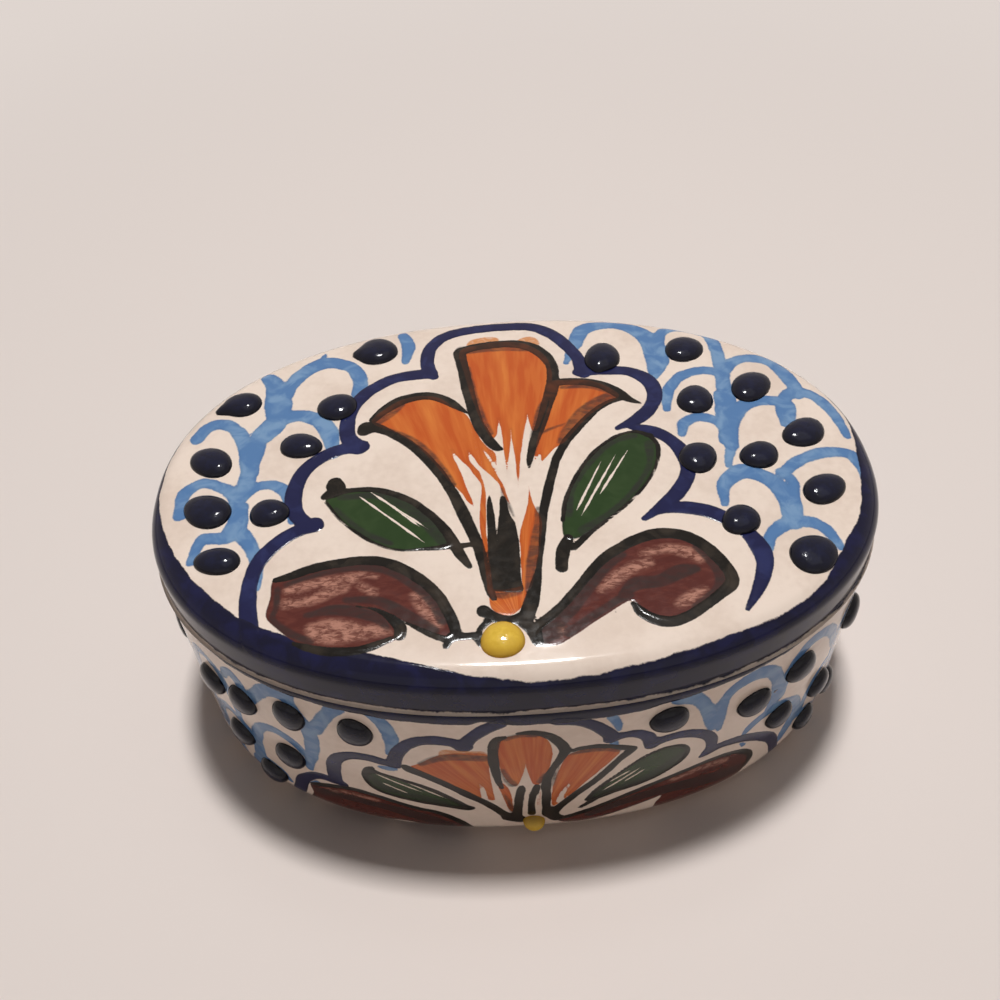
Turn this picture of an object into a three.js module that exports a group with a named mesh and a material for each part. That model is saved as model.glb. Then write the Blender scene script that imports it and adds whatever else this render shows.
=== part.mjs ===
// Oval trinket box of painted earthenware: a footed bowl, a lift-off lid with a locating
// flange, and the raised glaze drops on both. Millimetres, +Z up, +X along the length and the
// front at -Y. The origin is on the table, under the middle of the foot.

import * as THREE from 'three';

// Outline shared by bowl and lid, a superellipse
const boxLength = 102;
const boxWidth = 71.5;
const outlinePower = 2.2;

// Bowl
const bowlHeight = 35;
const wallThickness = 4.4;
const floorThickness = 4.6;
const wallTaper = 0.5;
const wallTaperPower = 1.6;
const bottomRadius = 5.6;
const innerRadius = 5;
const rimRound = 0.6;
const footWidth = 3.2;
const footRecess = 0.8;

// Lid, with heights counted from its lip
const lidSideHeight = 4.3;
const shoulderRadius = 2.8;
const crownRise = 1;
const lidThickness = 4.2;
const lipRound = 0.5;
const flangeDepth = 3;
const flangeThickness = 3;
const flangeClearance = 0.6;
const flangeRound = 0.7;
const ceilingRadius = 1.6;

// Raised drops
const dropRise = 1.2;
const dropSeatGap = 0.2;
const yellowDropLength = 5.6;
const yellowDropWidth = 5;
const bowlYellowWidth = 3.2;
const bowlYellowHeight = 3.4;

// Fineness of the facets. An arc in a path gets twice the steps that its path is given.
const outlineSteps = 72;
const wallBands = 3;
const bottomRoundSteps = 5;
const shoulderSteps = 3;
const smallRoundSteps = 2;
const crownShares = [0, 0.35, 0.7];
const dropSteps = 14;
const dropBands = 3;

// Step used to feel which way a surface slopes
const probeStep = 0.1;

// Navy drops on the lid: place as shares of half the length and half the width, then length
// and width in millimetres and the turn in degrees
const lidDrops = [
  [-0.845, 0.12, 6.8, 5.4, -40],
  [-0.785, 0.465, 6.0, 5.2, 15],
  [-0.39, 0.77, 6.6, 6.4, 0],
  [-0.5, 0.4, 6.0, 5.8, 0],
  [-0.595, 0.175, 6.2, 5.0, -10],
  [-0.83, -0.15, 7.4, 5.6, -30],
  [-0.66, -0.185, 5.6, 4.8, -10],
  [-0.78, -0.405, 6.2, 4.5, -10],
  [0.3, 0.63, 7.0, 5.6, 80],
  [0.555, 0.66, 6.6, 5.6, 45],
  [0.545, 0.315, 6.2, 5.4, 60],
  [0.72, 0.385, 7.2, 5.6, 50],
  [0.825, 0.09, 7.0, 5.2, 40],
  [0.51, -0.03, 6.2, 5.2, 60],
  [0.68, -0.03, 5.8, 5.0, 20],
  [0.825, -0.225, 6.6, 5.0, 35],
  [0.58, -0.365, 5.6, 4.8, 45],
  [0.74, -0.54, 6.8, 5.8, 30],
];
const lidYellowPlace = [-0.06, -0.835];

// Navy drops on the bowl's front half: share of the girth from the front middle, positive
// towards +X, share of the way down the wall, then width and height in millimetres. The back
// half repeats them half a turn on.
const bowlDrops = [
  [-0.0825, 0.168, 4.8, 6.0],
  [-0.1165, 0.183, 4.8, 6.0],
  [-0.1465, 0.245, 5.0, 5.8],
  [-0.17, 0.27, 5.2, 5.8],
  [-0.212, 0.25, 5.4, 5.6],
  [-0.125, 0.502, 5.0, 5.4],
  [-0.1605, 0.565, 5.2, 5.4],
  [-0.236, 0.56, 5.4, 5.4],
  [-0.1435, 0.735, 5.0, 4.8],
  [0.064, 0.158, 5.6, 5.0],
  [0.11, 0.254, 5.4, 5.2],
  [0.1385, 0.202, 5.4, 5.6],
  [0.19, 0.26, 5.6, 6.0],
  [0.236, 0.25, 5.4, 5.6],
  [0.132, 0.477, 4.8, 5.2],
  [0.167, 0.525, 5.0, 5.2],
  [0.162, 0.73, 5.0, 4.8],
  [0.187, 0.69, 4.8, 4.8],
];
const bowlYellowPlace = [0, 0.77];

const glazeMaterial = new THREE.MeshStandardMaterial({ color: 0xe8dccb, roughness: 0.16, metalness: 0 });
const navyMaterial = new THREE.MeshStandardMaterial({ color: 0x141a3c, roughness: 0.1, metalness: 0 });
const yellowMaterial = new THREE.MeshStandardMaterial({ color: 0xe0b81e, roughness: 0.14, metalness: 0 });

// The outline as a closed curve that starts at the front middle and runs towards +X
class OvalCurve extends THREE.Curve {
  constructor(halfLength, halfWidth, power) {
    super();
    this.halfLength = halfLength;
    this.halfWidth = halfWidth;
    this.power = power;
    this.arcLengthDivisions = 720;
  }

  getPoint(t, target = new THREE.Vector3()) {
    const angle = (t - 0.25) * 2 * Math.PI;
    const bend = (value) => Math.sign(value) * Math.abs(value) ** (2 / this.power);
    return target.set(this.halfLength * bend(Math.cos(angle)), this.halfWidth * bend(Math.sin(angle)), 0);
  }

  // Outward normal in the plane at a share of the girth
  getNormalAt(share) {
    const point = this.getPointAt(share);
    const slope = (value, half) => (Math.sign(value) * Math.abs(value / half) ** (this.power - 1)) / half;
    return new THREE.Vector3(slope(point.x, this.halfLength), slope(point.y, this.halfWidth), 0).normalize();
  }
}

const outline = new OvalCurve(boxLength / 2, boxWidth / 2, outlinePower);
const girth = outline.getLength();

// A ring is the outline moved out by offset (negative is inwards), drawn in by share towards
// the middle, at a height.
function ring(offset, height, share = 1) {
  return { offset, height, share };
}

function ringsAlong(path, steps) {
  return path.getPoints(steps).map((point) => ring(point.x, point.y));
}

// Rings of the lid's crown from the middle (share 0) outwards
function crownRings(offset, height) {
  return crownShares.map((share) => ring(offset, height + crownRise * (1 - share * share), share));
}

// Bands of triangles between rows of points that run counter-clockwise seen from above. The
// first and last row are single points.
function closedBands(rows) {
  const positions = rows.flat().flatMap((point) => point.toArray());
  const starts = rows.map((row, index) => rows.slice(0, index).reduce((sum, above) => sum + above.length, 0));
  const indices = [];
  for (let band = 0; band < rows.length - 1; band++) {
    const steps = Math.max(rows[band].length, rows[band + 1].length);
    const at = (row, step) => starts[row] + (step % steps) % rows[row].length;
    for (let step = 0; step < steps; step++) {
      if (rows[band].length > 1) {
        indices.push(at(band, step), at(band + 1, step + 1), at(band, step + 1));
      }
      if (rows[band + 1].length > 1) {
        indices.push(at(band, step), at(band + 1, step), at(band + 1, step + 1));
      }
    }
  }
  const geometry = new THREE.BufferGeometry();
  geometry.setAttribute('position', new THREE.Float32BufferAttribute(positions, 3));
  geometry.setIndex(indices);
  geometry.computeVertexNormals();
  return geometry;
}

// Solid swept round the oval from a closed run of rings
function ovalSolid(rings) {
  const shares = Array.from({ length: outlineSteps }, (_, step) => step / outlineSteps);
  const points = shares.map((share) => outline.getPointAt(share));
  const normals = shares.map((share) => outline.getNormalAt(share));
  const rows = rings.map(({ offset, height, share }) => {
    if (share === 0) {
      return [new THREE.Vector3(0, 0, height)];
    }
    return points.map((point, step) => {
      const moved = point.clone().addScaledVector(normals[step], offset).multiplyScalar(share);
      return moved.setZ(height);
    });
  });
  return closedBands(rows);
}

// The bowl's outer wall as offset and height at a distance down from the rim: a slight taper,
// then the round bottom edge
const straightWall = bowlHeight - bottomRadius;
const wallRun = straightWall + (bottomRadius * Math.PI) / 2;

function wallSection(distance) {
  if (distance <= straightWall) {
    return [-wallTaper * Math.max(distance / straightWall, 0) ** wallTaperPower, bowlHeight - distance];
  }
  const turn = Math.min((distance - straightWall) / bottomRadius, Math.PI / 2);
  return [-wallTaper - bottomRadius * (1 - Math.cos(turn)), bottomRadius * (1 - Math.sin(turn))];
}

function outerWallRings() {
  const down = Array.from({ length: wallBands }, (_, band) => (
    rimRound + (band / wallBands) * (straightWall - rimRound)
  ));
  const around = Array.from({ length: bottomRoundSteps + 1 }, (_, step) => (
    straightWall + (step / bottomRoundSteps) * (wallRun - straightWall)
  ));
  return [...down, ...around].map((distance) => ring(...wallSection(distance)));
}

function bowlGeometry() {
  const floorHeight = footRecess + floorThickness;
  const innerLow = -(wallTaper + wallThickness);
  const footOuter = -(wallTaper + bottomRadius);
  const footInner = footOuter - footWidth;

  const inside = new THREE.Path();
  inside.moveTo(innerLow - innerRadius, floorHeight);
  inside.absarc(innerLow - innerRadius, floorHeight + innerRadius, innerRadius, -Math.PI / 2, 0, false);
  inside.lineTo(-wallThickness, bowlHeight - rimRound);
  inside.absarc(rimRound - wallThickness, bowlHeight - rimRound, rimRound, Math.PI, Math.PI / 2, true);
  const rimOuter = new THREE.Path();
  rimOuter.absarc(-rimRound, bowlHeight - rimRound, rimRound, Math.PI / 2, 0, true);

  return ovalSolid([
    ring(0, floorHeight, 0),
    ...ringsAlong(inside, smallRoundSteps),
    ...ringsAlong(rimOuter, smallRoundSteps).slice(0, -1),
    ...outerWallRings(),
    ring(footInner, 0),
    ring(footInner - footRecess, footRecess),
    ring(0, footRecess, 0),
  ]);
}

function lidGeometry() {
  const shoulderTop = lidSideHeight + shoulderRadius;
  const ceiling = shoulderTop - lidThickness;
  const flangeOuter = -(wallThickness + flangeClearance);
  const flangeInner = flangeOuter - flangeThickness;
  const ceilingRound = Math.min(ceilingRadius, (ceiling + flangeDepth) / 2);

  const outside = new THREE.Path();
  outside.absarc(-shoulderRadius, lidSideHeight, shoulderRadius, Math.PI / 2, 0, true);
  const lip = new THREE.Path();
  lip.absarc(-lipRound, lipRound, lipRound, 0, -Math.PI / 2, true);
  lip.lineTo(flangeOuter, 0);
  lip.lineTo(flangeOuter, flangeRound - flangeDepth);
  lip.absarc(flangeOuter - flangeRound, flangeRound - flangeDepth, flangeRound, 0, -Math.PI / 2, true);
  lip.lineTo(flangeInner, -flangeDepth);
  lip.lineTo(flangeInner, ceiling - ceilingRound);
  lip.absarc(flangeInner - ceilingRound, ceiling - ceilingRound, ceilingRound, 0, Math.PI / 2, false);

  return ovalSolid([
    ...crownRings(-shoulderRadius, shoulderTop),
    ...ringsAlong(outside, shoulderSteps),
    ...ringsAlong(lip, smallRoundSteps),
    ...crownRings(flangeInner - ceilingRound, ceiling).reverse(),
  ]);
}

// Seats for drops. A surface function takes a place on the surface in millimetres and gives
// the point there and the outward normal.

function wallSurface(along, up) {
  const share = (((along / girth) % 1) + 1) % 1;
  const point = outline.getPointAt(share);
  const normal = outline.getNormalAt(share);
  const [offset, height] = wallSection(wallRun - up);
  const [offsetAbove, heightAbove] = wallSection(wallRun - up - probeStep);
  const slope = new THREE.Vector2(heightAbove - height, offset - offsetAbove).normalize();
  point.addScaledVector(normal, offset).setZ(height);
  normal.multiplyScalar(slope.x).setZ(slope.y);
  return { point, normal };
}

// Height of the lid's top over its lip: the crown, and the rolled shoulder near the edge
function lidTopHeight(x, y) {
  const ratio = (inset) => Math.hypot(
    Math.abs(x / (boxLength / 2 - inset)) ** (outlinePower / 2),
    Math.abs(y / (boxWidth / 2 - inset)) ** (outlinePower / 2),
  ) ** (2 / outlinePower);
  const crownShare = ratio(shoulderRadius);
  if (crownShare <= 1) {
    return lidSideHeight + shoulderRadius + crownRise * (1 - crownShare ** 2);
  }
  const past = Math.min((crownShare - 1) / (crownShare - ratio(0)), 1);
  return lidSideHeight + shoulderRadius * Math.sqrt(1 - past * past);
}

function lidSurface(x, y) {
  const slope = (rise) => rise / (2 * probeStep);
  const slopeX = slope(lidTopHeight(x + probeStep, y) - lidTopHeight(x - probeStep, y));
  const slopeY = slope(lidTopHeight(x, y + probeStep) - lidTopHeight(x, y - probeStep));
  return {
    point: new THREE.Vector3(x, y, lidTopHeight(x, y)),
    normal: new THREE.Vector3(-slopeX, -slopeY, 1).normalize(),
  };
}

// A drop is a low dome whose underside follows the surface that it sits on
function dropMesh(name, material, surface, [along, across], [length, width, turn = 0]) {
  const lifted = (reach, angle, lift) => {
    const local = new THREE.Vector2(Math.cos(angle) * length, Math.sin(angle) * width);
    local.multiplyScalar(reach / 2).rotateAround(new THREE.Vector2(), THREE.MathUtils.degToRad(turn));
    const { point, normal } = surface(along + local.x, across + local.y);
    return point.addScaledVector(normal, dropSeatGap + lift);
  };
  const rows = [[lifted(0, 0, dropRise)]];
  for (let band = dropBands - 1; band >= 0; band--) {
    const climb = (band / dropBands) * (Math.PI / 2);
    rows.push(Array.from({ length: dropSteps }, (_, step) => (
      lifted(Math.cos(climb), (step / dropSteps) * 2 * Math.PI, dropRise * Math.sin(climb))
    )));
  }
  rows.push([lifted(0, 0, 0)]);

  const seat = surface(along, across);
  const geometry = closedBands(rows);
  const mesh = new THREE.Mesh(geometry, material);
  mesh.name = name;
  mesh.position.copy(seat.point);
  mesh.quaternion.setFromUnitVectors(new THREE.Vector3(0, 0, 1), seat.normal);
  mesh.updateMatrix();
  geometry.applyMatrix4(mesh.matrix.clone().invert());
  return mesh;
}

function namedMesh(name, geometry, material) {
  const mesh = new THREE.Mesh(geometry, material);
  mesh.name = name;
  return mesh;
}

function numbered(prefix, index) {
  return `${prefix}_${String(index + 1).padStart(2, '0')}`;
}

function bowlGroup() {
  const group = new THREE.Group();
  group.add(namedMesh('bowl', bowlGeometry(), glazeMaterial));
  const place = ([share, down], halfTurn) => [(share + halfTurn) * girth, (1 - down) * wallRun];
  const halves = [['front', 0], ['back', 0.5]];
  for (const [side, halfTurn] of halves) {
    bowlDrops.forEach(([share, down, ...size], index) => {
      const name = numbered(`bowl_${side}_drop`, index);
      group.add(dropMesh(name, navyMaterial, wallSurface, place([share, down], halfTurn), size));
    });
    group.add(dropMesh(`bowl_${side}_drop_yellow`, yellowMaterial, wallSurface,
      place(bowlYellowPlace, halfTurn), [bowlYellowWidth, bowlYellowHeight]));
  }
  return group;
}

function lidGroup() {
  const group = new THREE.Group();
  group.position.z = bowlHeight;
  group.add(namedMesh('lid', lidGeometry(), glazeMaterial));
  const place = ([shareX, shareY]) => [(shareX * boxLength) / 2, (shareY * boxWidth) / 2];
  lidDrops.forEach(([shareX, shareY, ...size], index) => {
    const name = numbered('lid_drop', index);
    group.add(dropMesh(name, navyMaterial, lidSurface, place([shareX, shareY]), size));
  });
  group.add(dropMesh('lid_drop_yellow', yellowMaterial, lidSurface, place(lidYellowPlace),
    [yellowDropLength, yellowDropWidth]));
  return group;
}

const trinketBox = new THREE.Group();
trinketBox.add(bowlGroup(), lidGroup());

export default trinketBox;
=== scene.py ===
import math

import bmesh
import bpy
import numpy as np
from mathutils import Matrix, Vector


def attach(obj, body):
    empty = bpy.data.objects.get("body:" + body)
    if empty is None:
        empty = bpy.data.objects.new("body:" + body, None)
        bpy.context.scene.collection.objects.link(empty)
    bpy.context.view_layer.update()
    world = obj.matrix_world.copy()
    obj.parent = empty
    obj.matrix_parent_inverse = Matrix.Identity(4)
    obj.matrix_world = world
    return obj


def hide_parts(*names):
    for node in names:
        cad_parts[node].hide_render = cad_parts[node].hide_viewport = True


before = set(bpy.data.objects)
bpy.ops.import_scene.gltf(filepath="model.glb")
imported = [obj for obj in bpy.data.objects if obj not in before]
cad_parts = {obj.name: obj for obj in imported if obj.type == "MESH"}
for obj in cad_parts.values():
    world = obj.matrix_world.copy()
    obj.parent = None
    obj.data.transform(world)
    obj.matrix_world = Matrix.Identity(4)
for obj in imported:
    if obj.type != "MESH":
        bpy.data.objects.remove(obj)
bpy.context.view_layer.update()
print("frame loaded,", len(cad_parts), "nodes")

mm = 0.001


def rgb(red, green, blue):
    # 0-255 as seen on screen, to Blender's linear colour
    linear = [((v / 255 + 0.055) / 1.055) ** 2.4 for v in (red, green, blue)]
    return (*linear, 1)


# the oval, in millimetres
oval = {"length": 102, "width": 71.5, "power": 2.2, "samples": 7200}


def ovalSamples():
    angle = np.linspace(-0.5, 1.5, oval["samples"] + 1) * np.pi
    bend = 2 / oval["power"]
    x = oval["length"] / 2 * np.sign(np.cos(angle)) * np.abs(np.cos(angle)) ** bend
    y = oval["width"] / 2 * np.sign(np.sin(angle)) * np.abs(np.sin(angle)) ** bend
    return x, y, np.r_[0, np.cumsum(np.hypot(np.diff(x), np.diff(y)))]


ovalX, ovalY, ovalRun = ovalSamples()
girth = ovalRun[-1]


def ovalAt(run):
    # point and outward normal at a run from the front middle, positive towards +X
    run = np.mod(run, girth)
    x, y = np.interp(run, ovalRun, ovalX), np.interp(run, ovalRun, ovalY)
    steep = oval["power"] - 1
    halfLength, halfWidth = oval["length"] / 2, oval["width"] / 2
    normal = np.stack([np.sign(x) * np.abs(x / halfLength) ** steep / halfLength,
                       np.sign(y) * np.abs(y / halfWidth) ** steep / halfWidth], -1)
    normal /= np.linalg.norm(normal, axis=-1, keepdims=True)
    return np.stack([x, y], -1), normal


def ovalRatio(x, y, inset):
    halfLength, halfWidth = oval["length"] / 2 - inset, oval["width"] / 2 - inset
    power = oval["power"]
    return (np.abs(x / halfLength) ** power + np.abs(y / halfWidth) ** power) ** (1 / power)


# brush strokes
# A stroke is a width and the points that the brush passed through. A point may have its own
# width. A patch is the closed outline of a filled shape.

def smoothRun(points, closed=False, cuts=6):
    pts = np.array(points, float)
    if closed:
        pts = np.vstack([pts[-1:], pts, pts[:2]])
    else:
        pts = np.vstack([2 * pts[0] - pts[1], pts, 2 * pts[-1] - pts[-2]])
    a, b, c, d = pts[:-3, None], pts[1:-2, None], pts[2:-1, None], pts[3:, None]
    t = (np.arange(cuts) / cuts)[None, :, None]
    run = 0.5 * (2 * b + (c - a) * t + (2 * a - 5 * b + 4 * c - d) * t ** 2 + (3 * b - a - 3 * c + d) * t ** 3)
    run = run.reshape(-1, pts.shape[1])
    return run if closed else np.vstack([run, pts[-2:-1]])


def fromLine(spots, start, end):
    # distance to each short piece of a line, and how far along it
    way = end - start
    long = np.maximum((way ** 2).sum(-1), 1e-9)
    share = ((spots[:, None] - start) * way).sum(-1) / long
    share = np.clip(share, 0, 1)
    near = start + share[..., None] * way
    return np.linalg.norm(spots[:, None] - near, axis=-1), share


farAway = 6.0  # millimetres past which a stroke isn't measured


def strokeField(spots, strokes):
    # distance to the edge of the nearest stroke, negative under the paint
    field = np.full(len(spots), farAway)
    for width, points in strokes:
        line = smoothRun([(*p, width) if len(p) == 2 else p for p in points])
        low, high = line[:, :2].min(0) - farAway / 2, line[:, :2].max(0) + farAway / 2
        near = np.nonzero(np.all((spots > low) & (spots < high), axis=1))[0]
        if len(near):
            gap, share = fromLine(spots[near], line[:-1, :2], line[1:, :2])
            half = (line[:-1, 2] + share * np.diff(line[:, 2])) / 2
            field[near] = np.minimum(field[near], (gap - half).min(1))
    return field


def patchField(spots, patches):
    field = np.full(len(spots), farAway)
    for outline in patches:
        loop = smoothRun(outline, closed=True)
        low, high = loop.min(0) - farAway / 2, loop.max(0) + farAway / 2
        near = np.nonzero(np.all((spots > low) & (spots < high), axis=1))[0]
        if len(near):
            start, end = loop, np.roll(loop, -1, axis=0)
            spot = spots[near]
            gap = fromLine(spot, start, end)[0].min(1)
            x, y = spot[:, :1], spot[:, 1:]
            above = (start[:, 1] > y) != (end[:, 1] > y)
            rise = np.where(end[:, 1] == start[:, 1], 1e-9, end[:, 1] - start[:, 1])
            left = x < start[:, 0] + (y - start[:, 1]) / rise * (end[:, 0] - start[:, 0])
            inside = (above & left).sum(1) % 2 == 1
            field[near] = np.minimum(field[near], np.where(inside, -gap, gap))
    return field


def either(*fields):
    return np.minimum.reduce(fields)


def without(field, cut):
    # the cuts keep the ground bare
    return np.maximum(field, -cut)


def blot(x, y, size):
    return (size, [(x, y), (x + 0.01, y)])


# spun and stretched pottery: the radius that stands for the outline, how far inside it a profile
# keeps its true width, into how many steps each coarse step of the spin is split, and in how many
# batches the vertices are matched to their profile points
spinning = {"radius": 45, "deepest": 10.5, "split": 6, "batches": 20}


def arcPoints(middle, height, radius, start, end, steps):
    turns = [math.radians(start + (end - start) * step / steps) for step in range(steps + 1)]
    return [(middle + radius * math.cos(turn), height + radius * math.sin(turn)) for turn in turns]


def linePoints(start, end, spacing):
    steps = max(1, round(math.dist(start, end) / spacing))
    return [(start[0] + (end[0] - start[0]) * step / steps, start[1] + (end[1] - start[1]) * step / steps)
            for step in range(steps + 1)]


def chained(*runs):
    # one profile from several runs, without the points that they share
    profile = []
    for point in (point for run in runs for point in run):
        if not profile or math.dist(profile[-1], point) > 0.02:
            profile.append(point)
    return profile


def spunMesh(name, points, steps, split=1):
    # a line of points spun round the Z axis
    bm = bmesh.new()
    verts = [bm.verts.new(point) for point in points]
    edges = [bm.edges.new(pair) for pair in zip(verts, verts[1:])]
    bmesh.ops.spin(bm, geom=verts + edges, cent=(0, 0, 0), axis=(0, 0, 1), angle=2 * math.pi, steps=steps,
                   use_merge=True)
    bmesh.ops.remove_doubles(bm, verts=bm.verts, dist=0.001)
    if split > 1:
        ringEdges = [edge for edge in bm.edges
                     if abs(edge.verts[0].co.z - edge.verts[1].co.z) < 1e-4
                     and abs(edge.verts[0].co.xy.length - edge.verts[1].co.xy.length) < 1e-3]
        bmesh.ops.subdivide_edges(bm, edges=ringEdges, cuts=split - 1, use_grid_fill=True)
    bmesh.ops.recalc_face_normals(bm, faces=bm.faces)
    mesh = bpy.data.meshes.new(name)
    bm.to_mesh(mesh)
    bm.free()
    return mesh


def spinOval(name, profile, spokes):
    # spins the profile (offset from the outline, height) round and stretches it to the oval.
    # It returns the mesh, the places, and for each vertex its run round the oval and its profile point
    radius, split = spinning["radius"], spinning["split"]
    points = [(0, -max(radius + offset, 0), height) for offset, height in profile]
    mesh = spunMesh(name, points, spokes // split, split)
    place = readPlaces(mesh)
    reach = np.hypot(place[:, 0], place[:, 1])
    run = np.mod(np.arctan2(place[:, 1], place[:, 0]) / (2 * np.pi) + 0.25, 1) * girth
    corners = np.array(profile)
    corners[:, 0] = np.maximum(corners[:, 0] + radius, 0)
    spot = np.concatenate([
        ((reach[part, None] - corners[:, 0]) ** 2 + (place[part, 2, None] - corners[:, 1]) ** 2).argmin(1)
        for part in np.array_split(np.arange(len(place)), spinning["batches"])])
    reach = corners[spot, 0]
    point, normal = ovalAt(run)
    core = radius - spinning["deepest"]
    offset = np.maximum(reach, core) - radius
    place[:, :2] = (point + normal * offset[:, None]) * np.minimum(reach / core, 1)[:, None]
    return mesh, place, run, spot


def readPlaces(mesh):
    place = np.empty(len(mesh.vertices) * 3)
    mesh.vertices.foreach_get("co", place)
    return place.reshape(-1, 3)


def writePlaces(mesh, place):
    mesh.vertices.foreach_set("co", (place * mm).ravel())
    mesh.update()


def raisePaint(mesh, place, relief):
    # along the surface's own normals
    normals = np.empty(len(mesh.vertices) * 3, np.float32)
    mesh.vertex_normals.foreach_get("vector", normals)
    return place + normals.reshape(-1, 3) * relief[:, None]


def keepField(mesh, name, values):
    kind = "FLOAT" if values.ndim == 1 else "FLOAT_VECTOR"
    layer = mesh.attributes.new(name, kind, "POINT")
    layer.data.foreach_set("value" if values.ndim == 1 else "vector", values.astype(np.float32).ravel())


sharpAngle = 50  # degrees between two faces from where their edge is shaded sharp


def placePiece(name, mesh, material, body, node):
    mesh.polygons.foreach_set("use_smooth", [True] * len(mesh.polygons))
    mesh.set_sharp_from_angle(angle=math.radians(sharpAngle))
    mesh.materials.append(material)
    piece = bpy.data.objects.new(name, mesh)
    bpy.context.scene.collection.objects.link(piece)
    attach(piece, body)
    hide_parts(node)
    return piece


# shader helpers
def addNode(tree, kind, **settings):
    made = tree.nodes.new(kind)
    for name, value in settings.items():
        setattr(made, name, value)
    return made


def feed(tree, socket, value):
    if isinstance(value, bpy.types.NodeSocket):
        tree.links.new(value, socket)
    else:
        socket.default_value = value


def calc(tree, operation, *values):
    made = addNode(tree, "ShaderNodeMath", operation=operation)
    for socket, value in zip(made.inputs, values):
        feed(tree, socket, value)
    return made.outputs[0]


def ramp(tree, value, low, high, toLow=0.0, toHigh=1.0, smooth=True):
    made = addNode(tree, "ShaderNodeMapRange", interpolation_type="SMOOTHSTEP" if smooth else "LINEAR")
    names = ("Value", "From Min", "From Max", "To Min", "To Max")
    for name, given in zip(names, (value, low, high, toLow, toHigh)):
        feed(tree, made.inputs[name], given)
    return made.outputs[0]


def mixColour(tree, share, under, over):
    made = addNode(tree, "ShaderNodeMix", data_type="RGBA", blend_type="MIX", clamp_factor=True)
    for index, given in zip((0, 6, 7), (share, under, over)):
        feed(tree, made.inputs[index], given)
    return made.outputs[2]


def noise(tree, vector, scale, detail=2.0, distortion=0.0, roughness=0.5):
    made = addNode(tree, "ShaderNodeTexNoise")
    feed(tree, made.inputs["Vector"], vector)
    for name, given in zip(("Scale", "Detail", "Distortion", "Roughness"), (scale, detail, distortion, roughness)):
        feed(tree, made.inputs[name], given)
    return made.outputs["Fac"]


def millimetres(tree, offset=0.0):
    # the piece's own coordinates in millimetres
    place = addNode(tree, "ShaderNodeTexCoord").outputs["Object"]
    scaled = addNode(tree, "ShaderNodeVectorMath", operation="MULTIPLY_ADD")
    feed(tree, scaled.inputs[0], place)
    scaled.inputs[1].default_value = [1 / mm] * 3
    scaled.inputs[2].default_value = [offset] * 3
    return scaled.outputs[0]


def readField(tree, name):
    return addNode(tree, "ShaderNodeAttribute", attribute_type="GEOMETRY", attribute_name=name)


def startGroup(name, inputs, outputs):
    tree = bpy.data.node_groups.new(name, "ShaderNodeTree")
    kinds = {"c": "NodeSocketColor", "f": "NodeSocketFloat", "v": "NodeSocketVector"}
    for label, kind in inputs:
        tree.interface.new_socket(label, in_out="INPUT", socket_type=kinds[kind])
    for label, kind in outputs:
        tree.interface.new_socket(label, in_out="OUTPUT", socket_type=kinds[kind])
    return tree, addNode(tree, "NodeGroupInput").outputs, addNode(tree, "NodeGroupOutput").inputs


def useGroup(tree, group, **values):
    made = addNode(tree, "ShaderNodeGroup", node_tree=group)
    for name, value in values.items():
        feed(tree, made.inputs[name], value)
    return made.outputs


# shader groups
def makeBrushLayer():
    # one colour brushed over what lies under it: thin where the brush ran dry, darker where
    # the wet paint pooled at its edge
    tree, given, out = startGroup(
        "brushLayer",
        [("Under", "c"), ("Field", "f"), ("Waver", "f"), ("Paint", "c"), ("Thin", "c"), ("Streak", "f"),
         ("Pool", "f"), ("Soft", "f")],
        [("Color", "c"), ("Relief", "f")])
    field = calc(tree, "ADD", given["Field"], given["Waver"])
    cover = ramp(tree, field, calc(tree, "MULTIPLY", given["Soft"], -1.0), given["Soft"], 1.0, 0.0)
    body = mixColour(tree, given["Streak"], given["Paint"], given["Thin"])
    edge = ramp(tree, field, -0.55, -0.05)
    pooled = mixColour(tree, calc(tree, "MULTIPLY", edge, given["Pool"]), body, (0.0, 0.0, 0.0, 1.0))
    feed(tree, out["Color"], mixColour(tree, cover, given["Under"], pooled))
    feed(tree, out["Relief"], ramp(tree, field, -0.3, 0.05, 1.0, 0.0))
    return tree


def makeSheerLayer():
    # a thin film of paint that lets through some of what it crosses
    tree, given, out = startGroup(
        "sheerLayer",
        [("Under", "c"), ("Field", "f"), ("Waver", "f"), ("Paint", "c"), ("Amount", "f"), ("Soft", "f")],
        [("Color", "c")])
    field = calc(tree, "ADD", given["Field"], given["Waver"])
    cover = ramp(tree, field, calc(tree, "MULTIPLY", given["Soft"], -1.0), given["Soft"], 1.0, 0.0)
    share = calc(tree, "MULTIPLY", cover, given["Amount"])
    feed(tree, out["Color"], mixColour(tree, share, given["Under"], given["Paint"]))
    return tree


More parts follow.
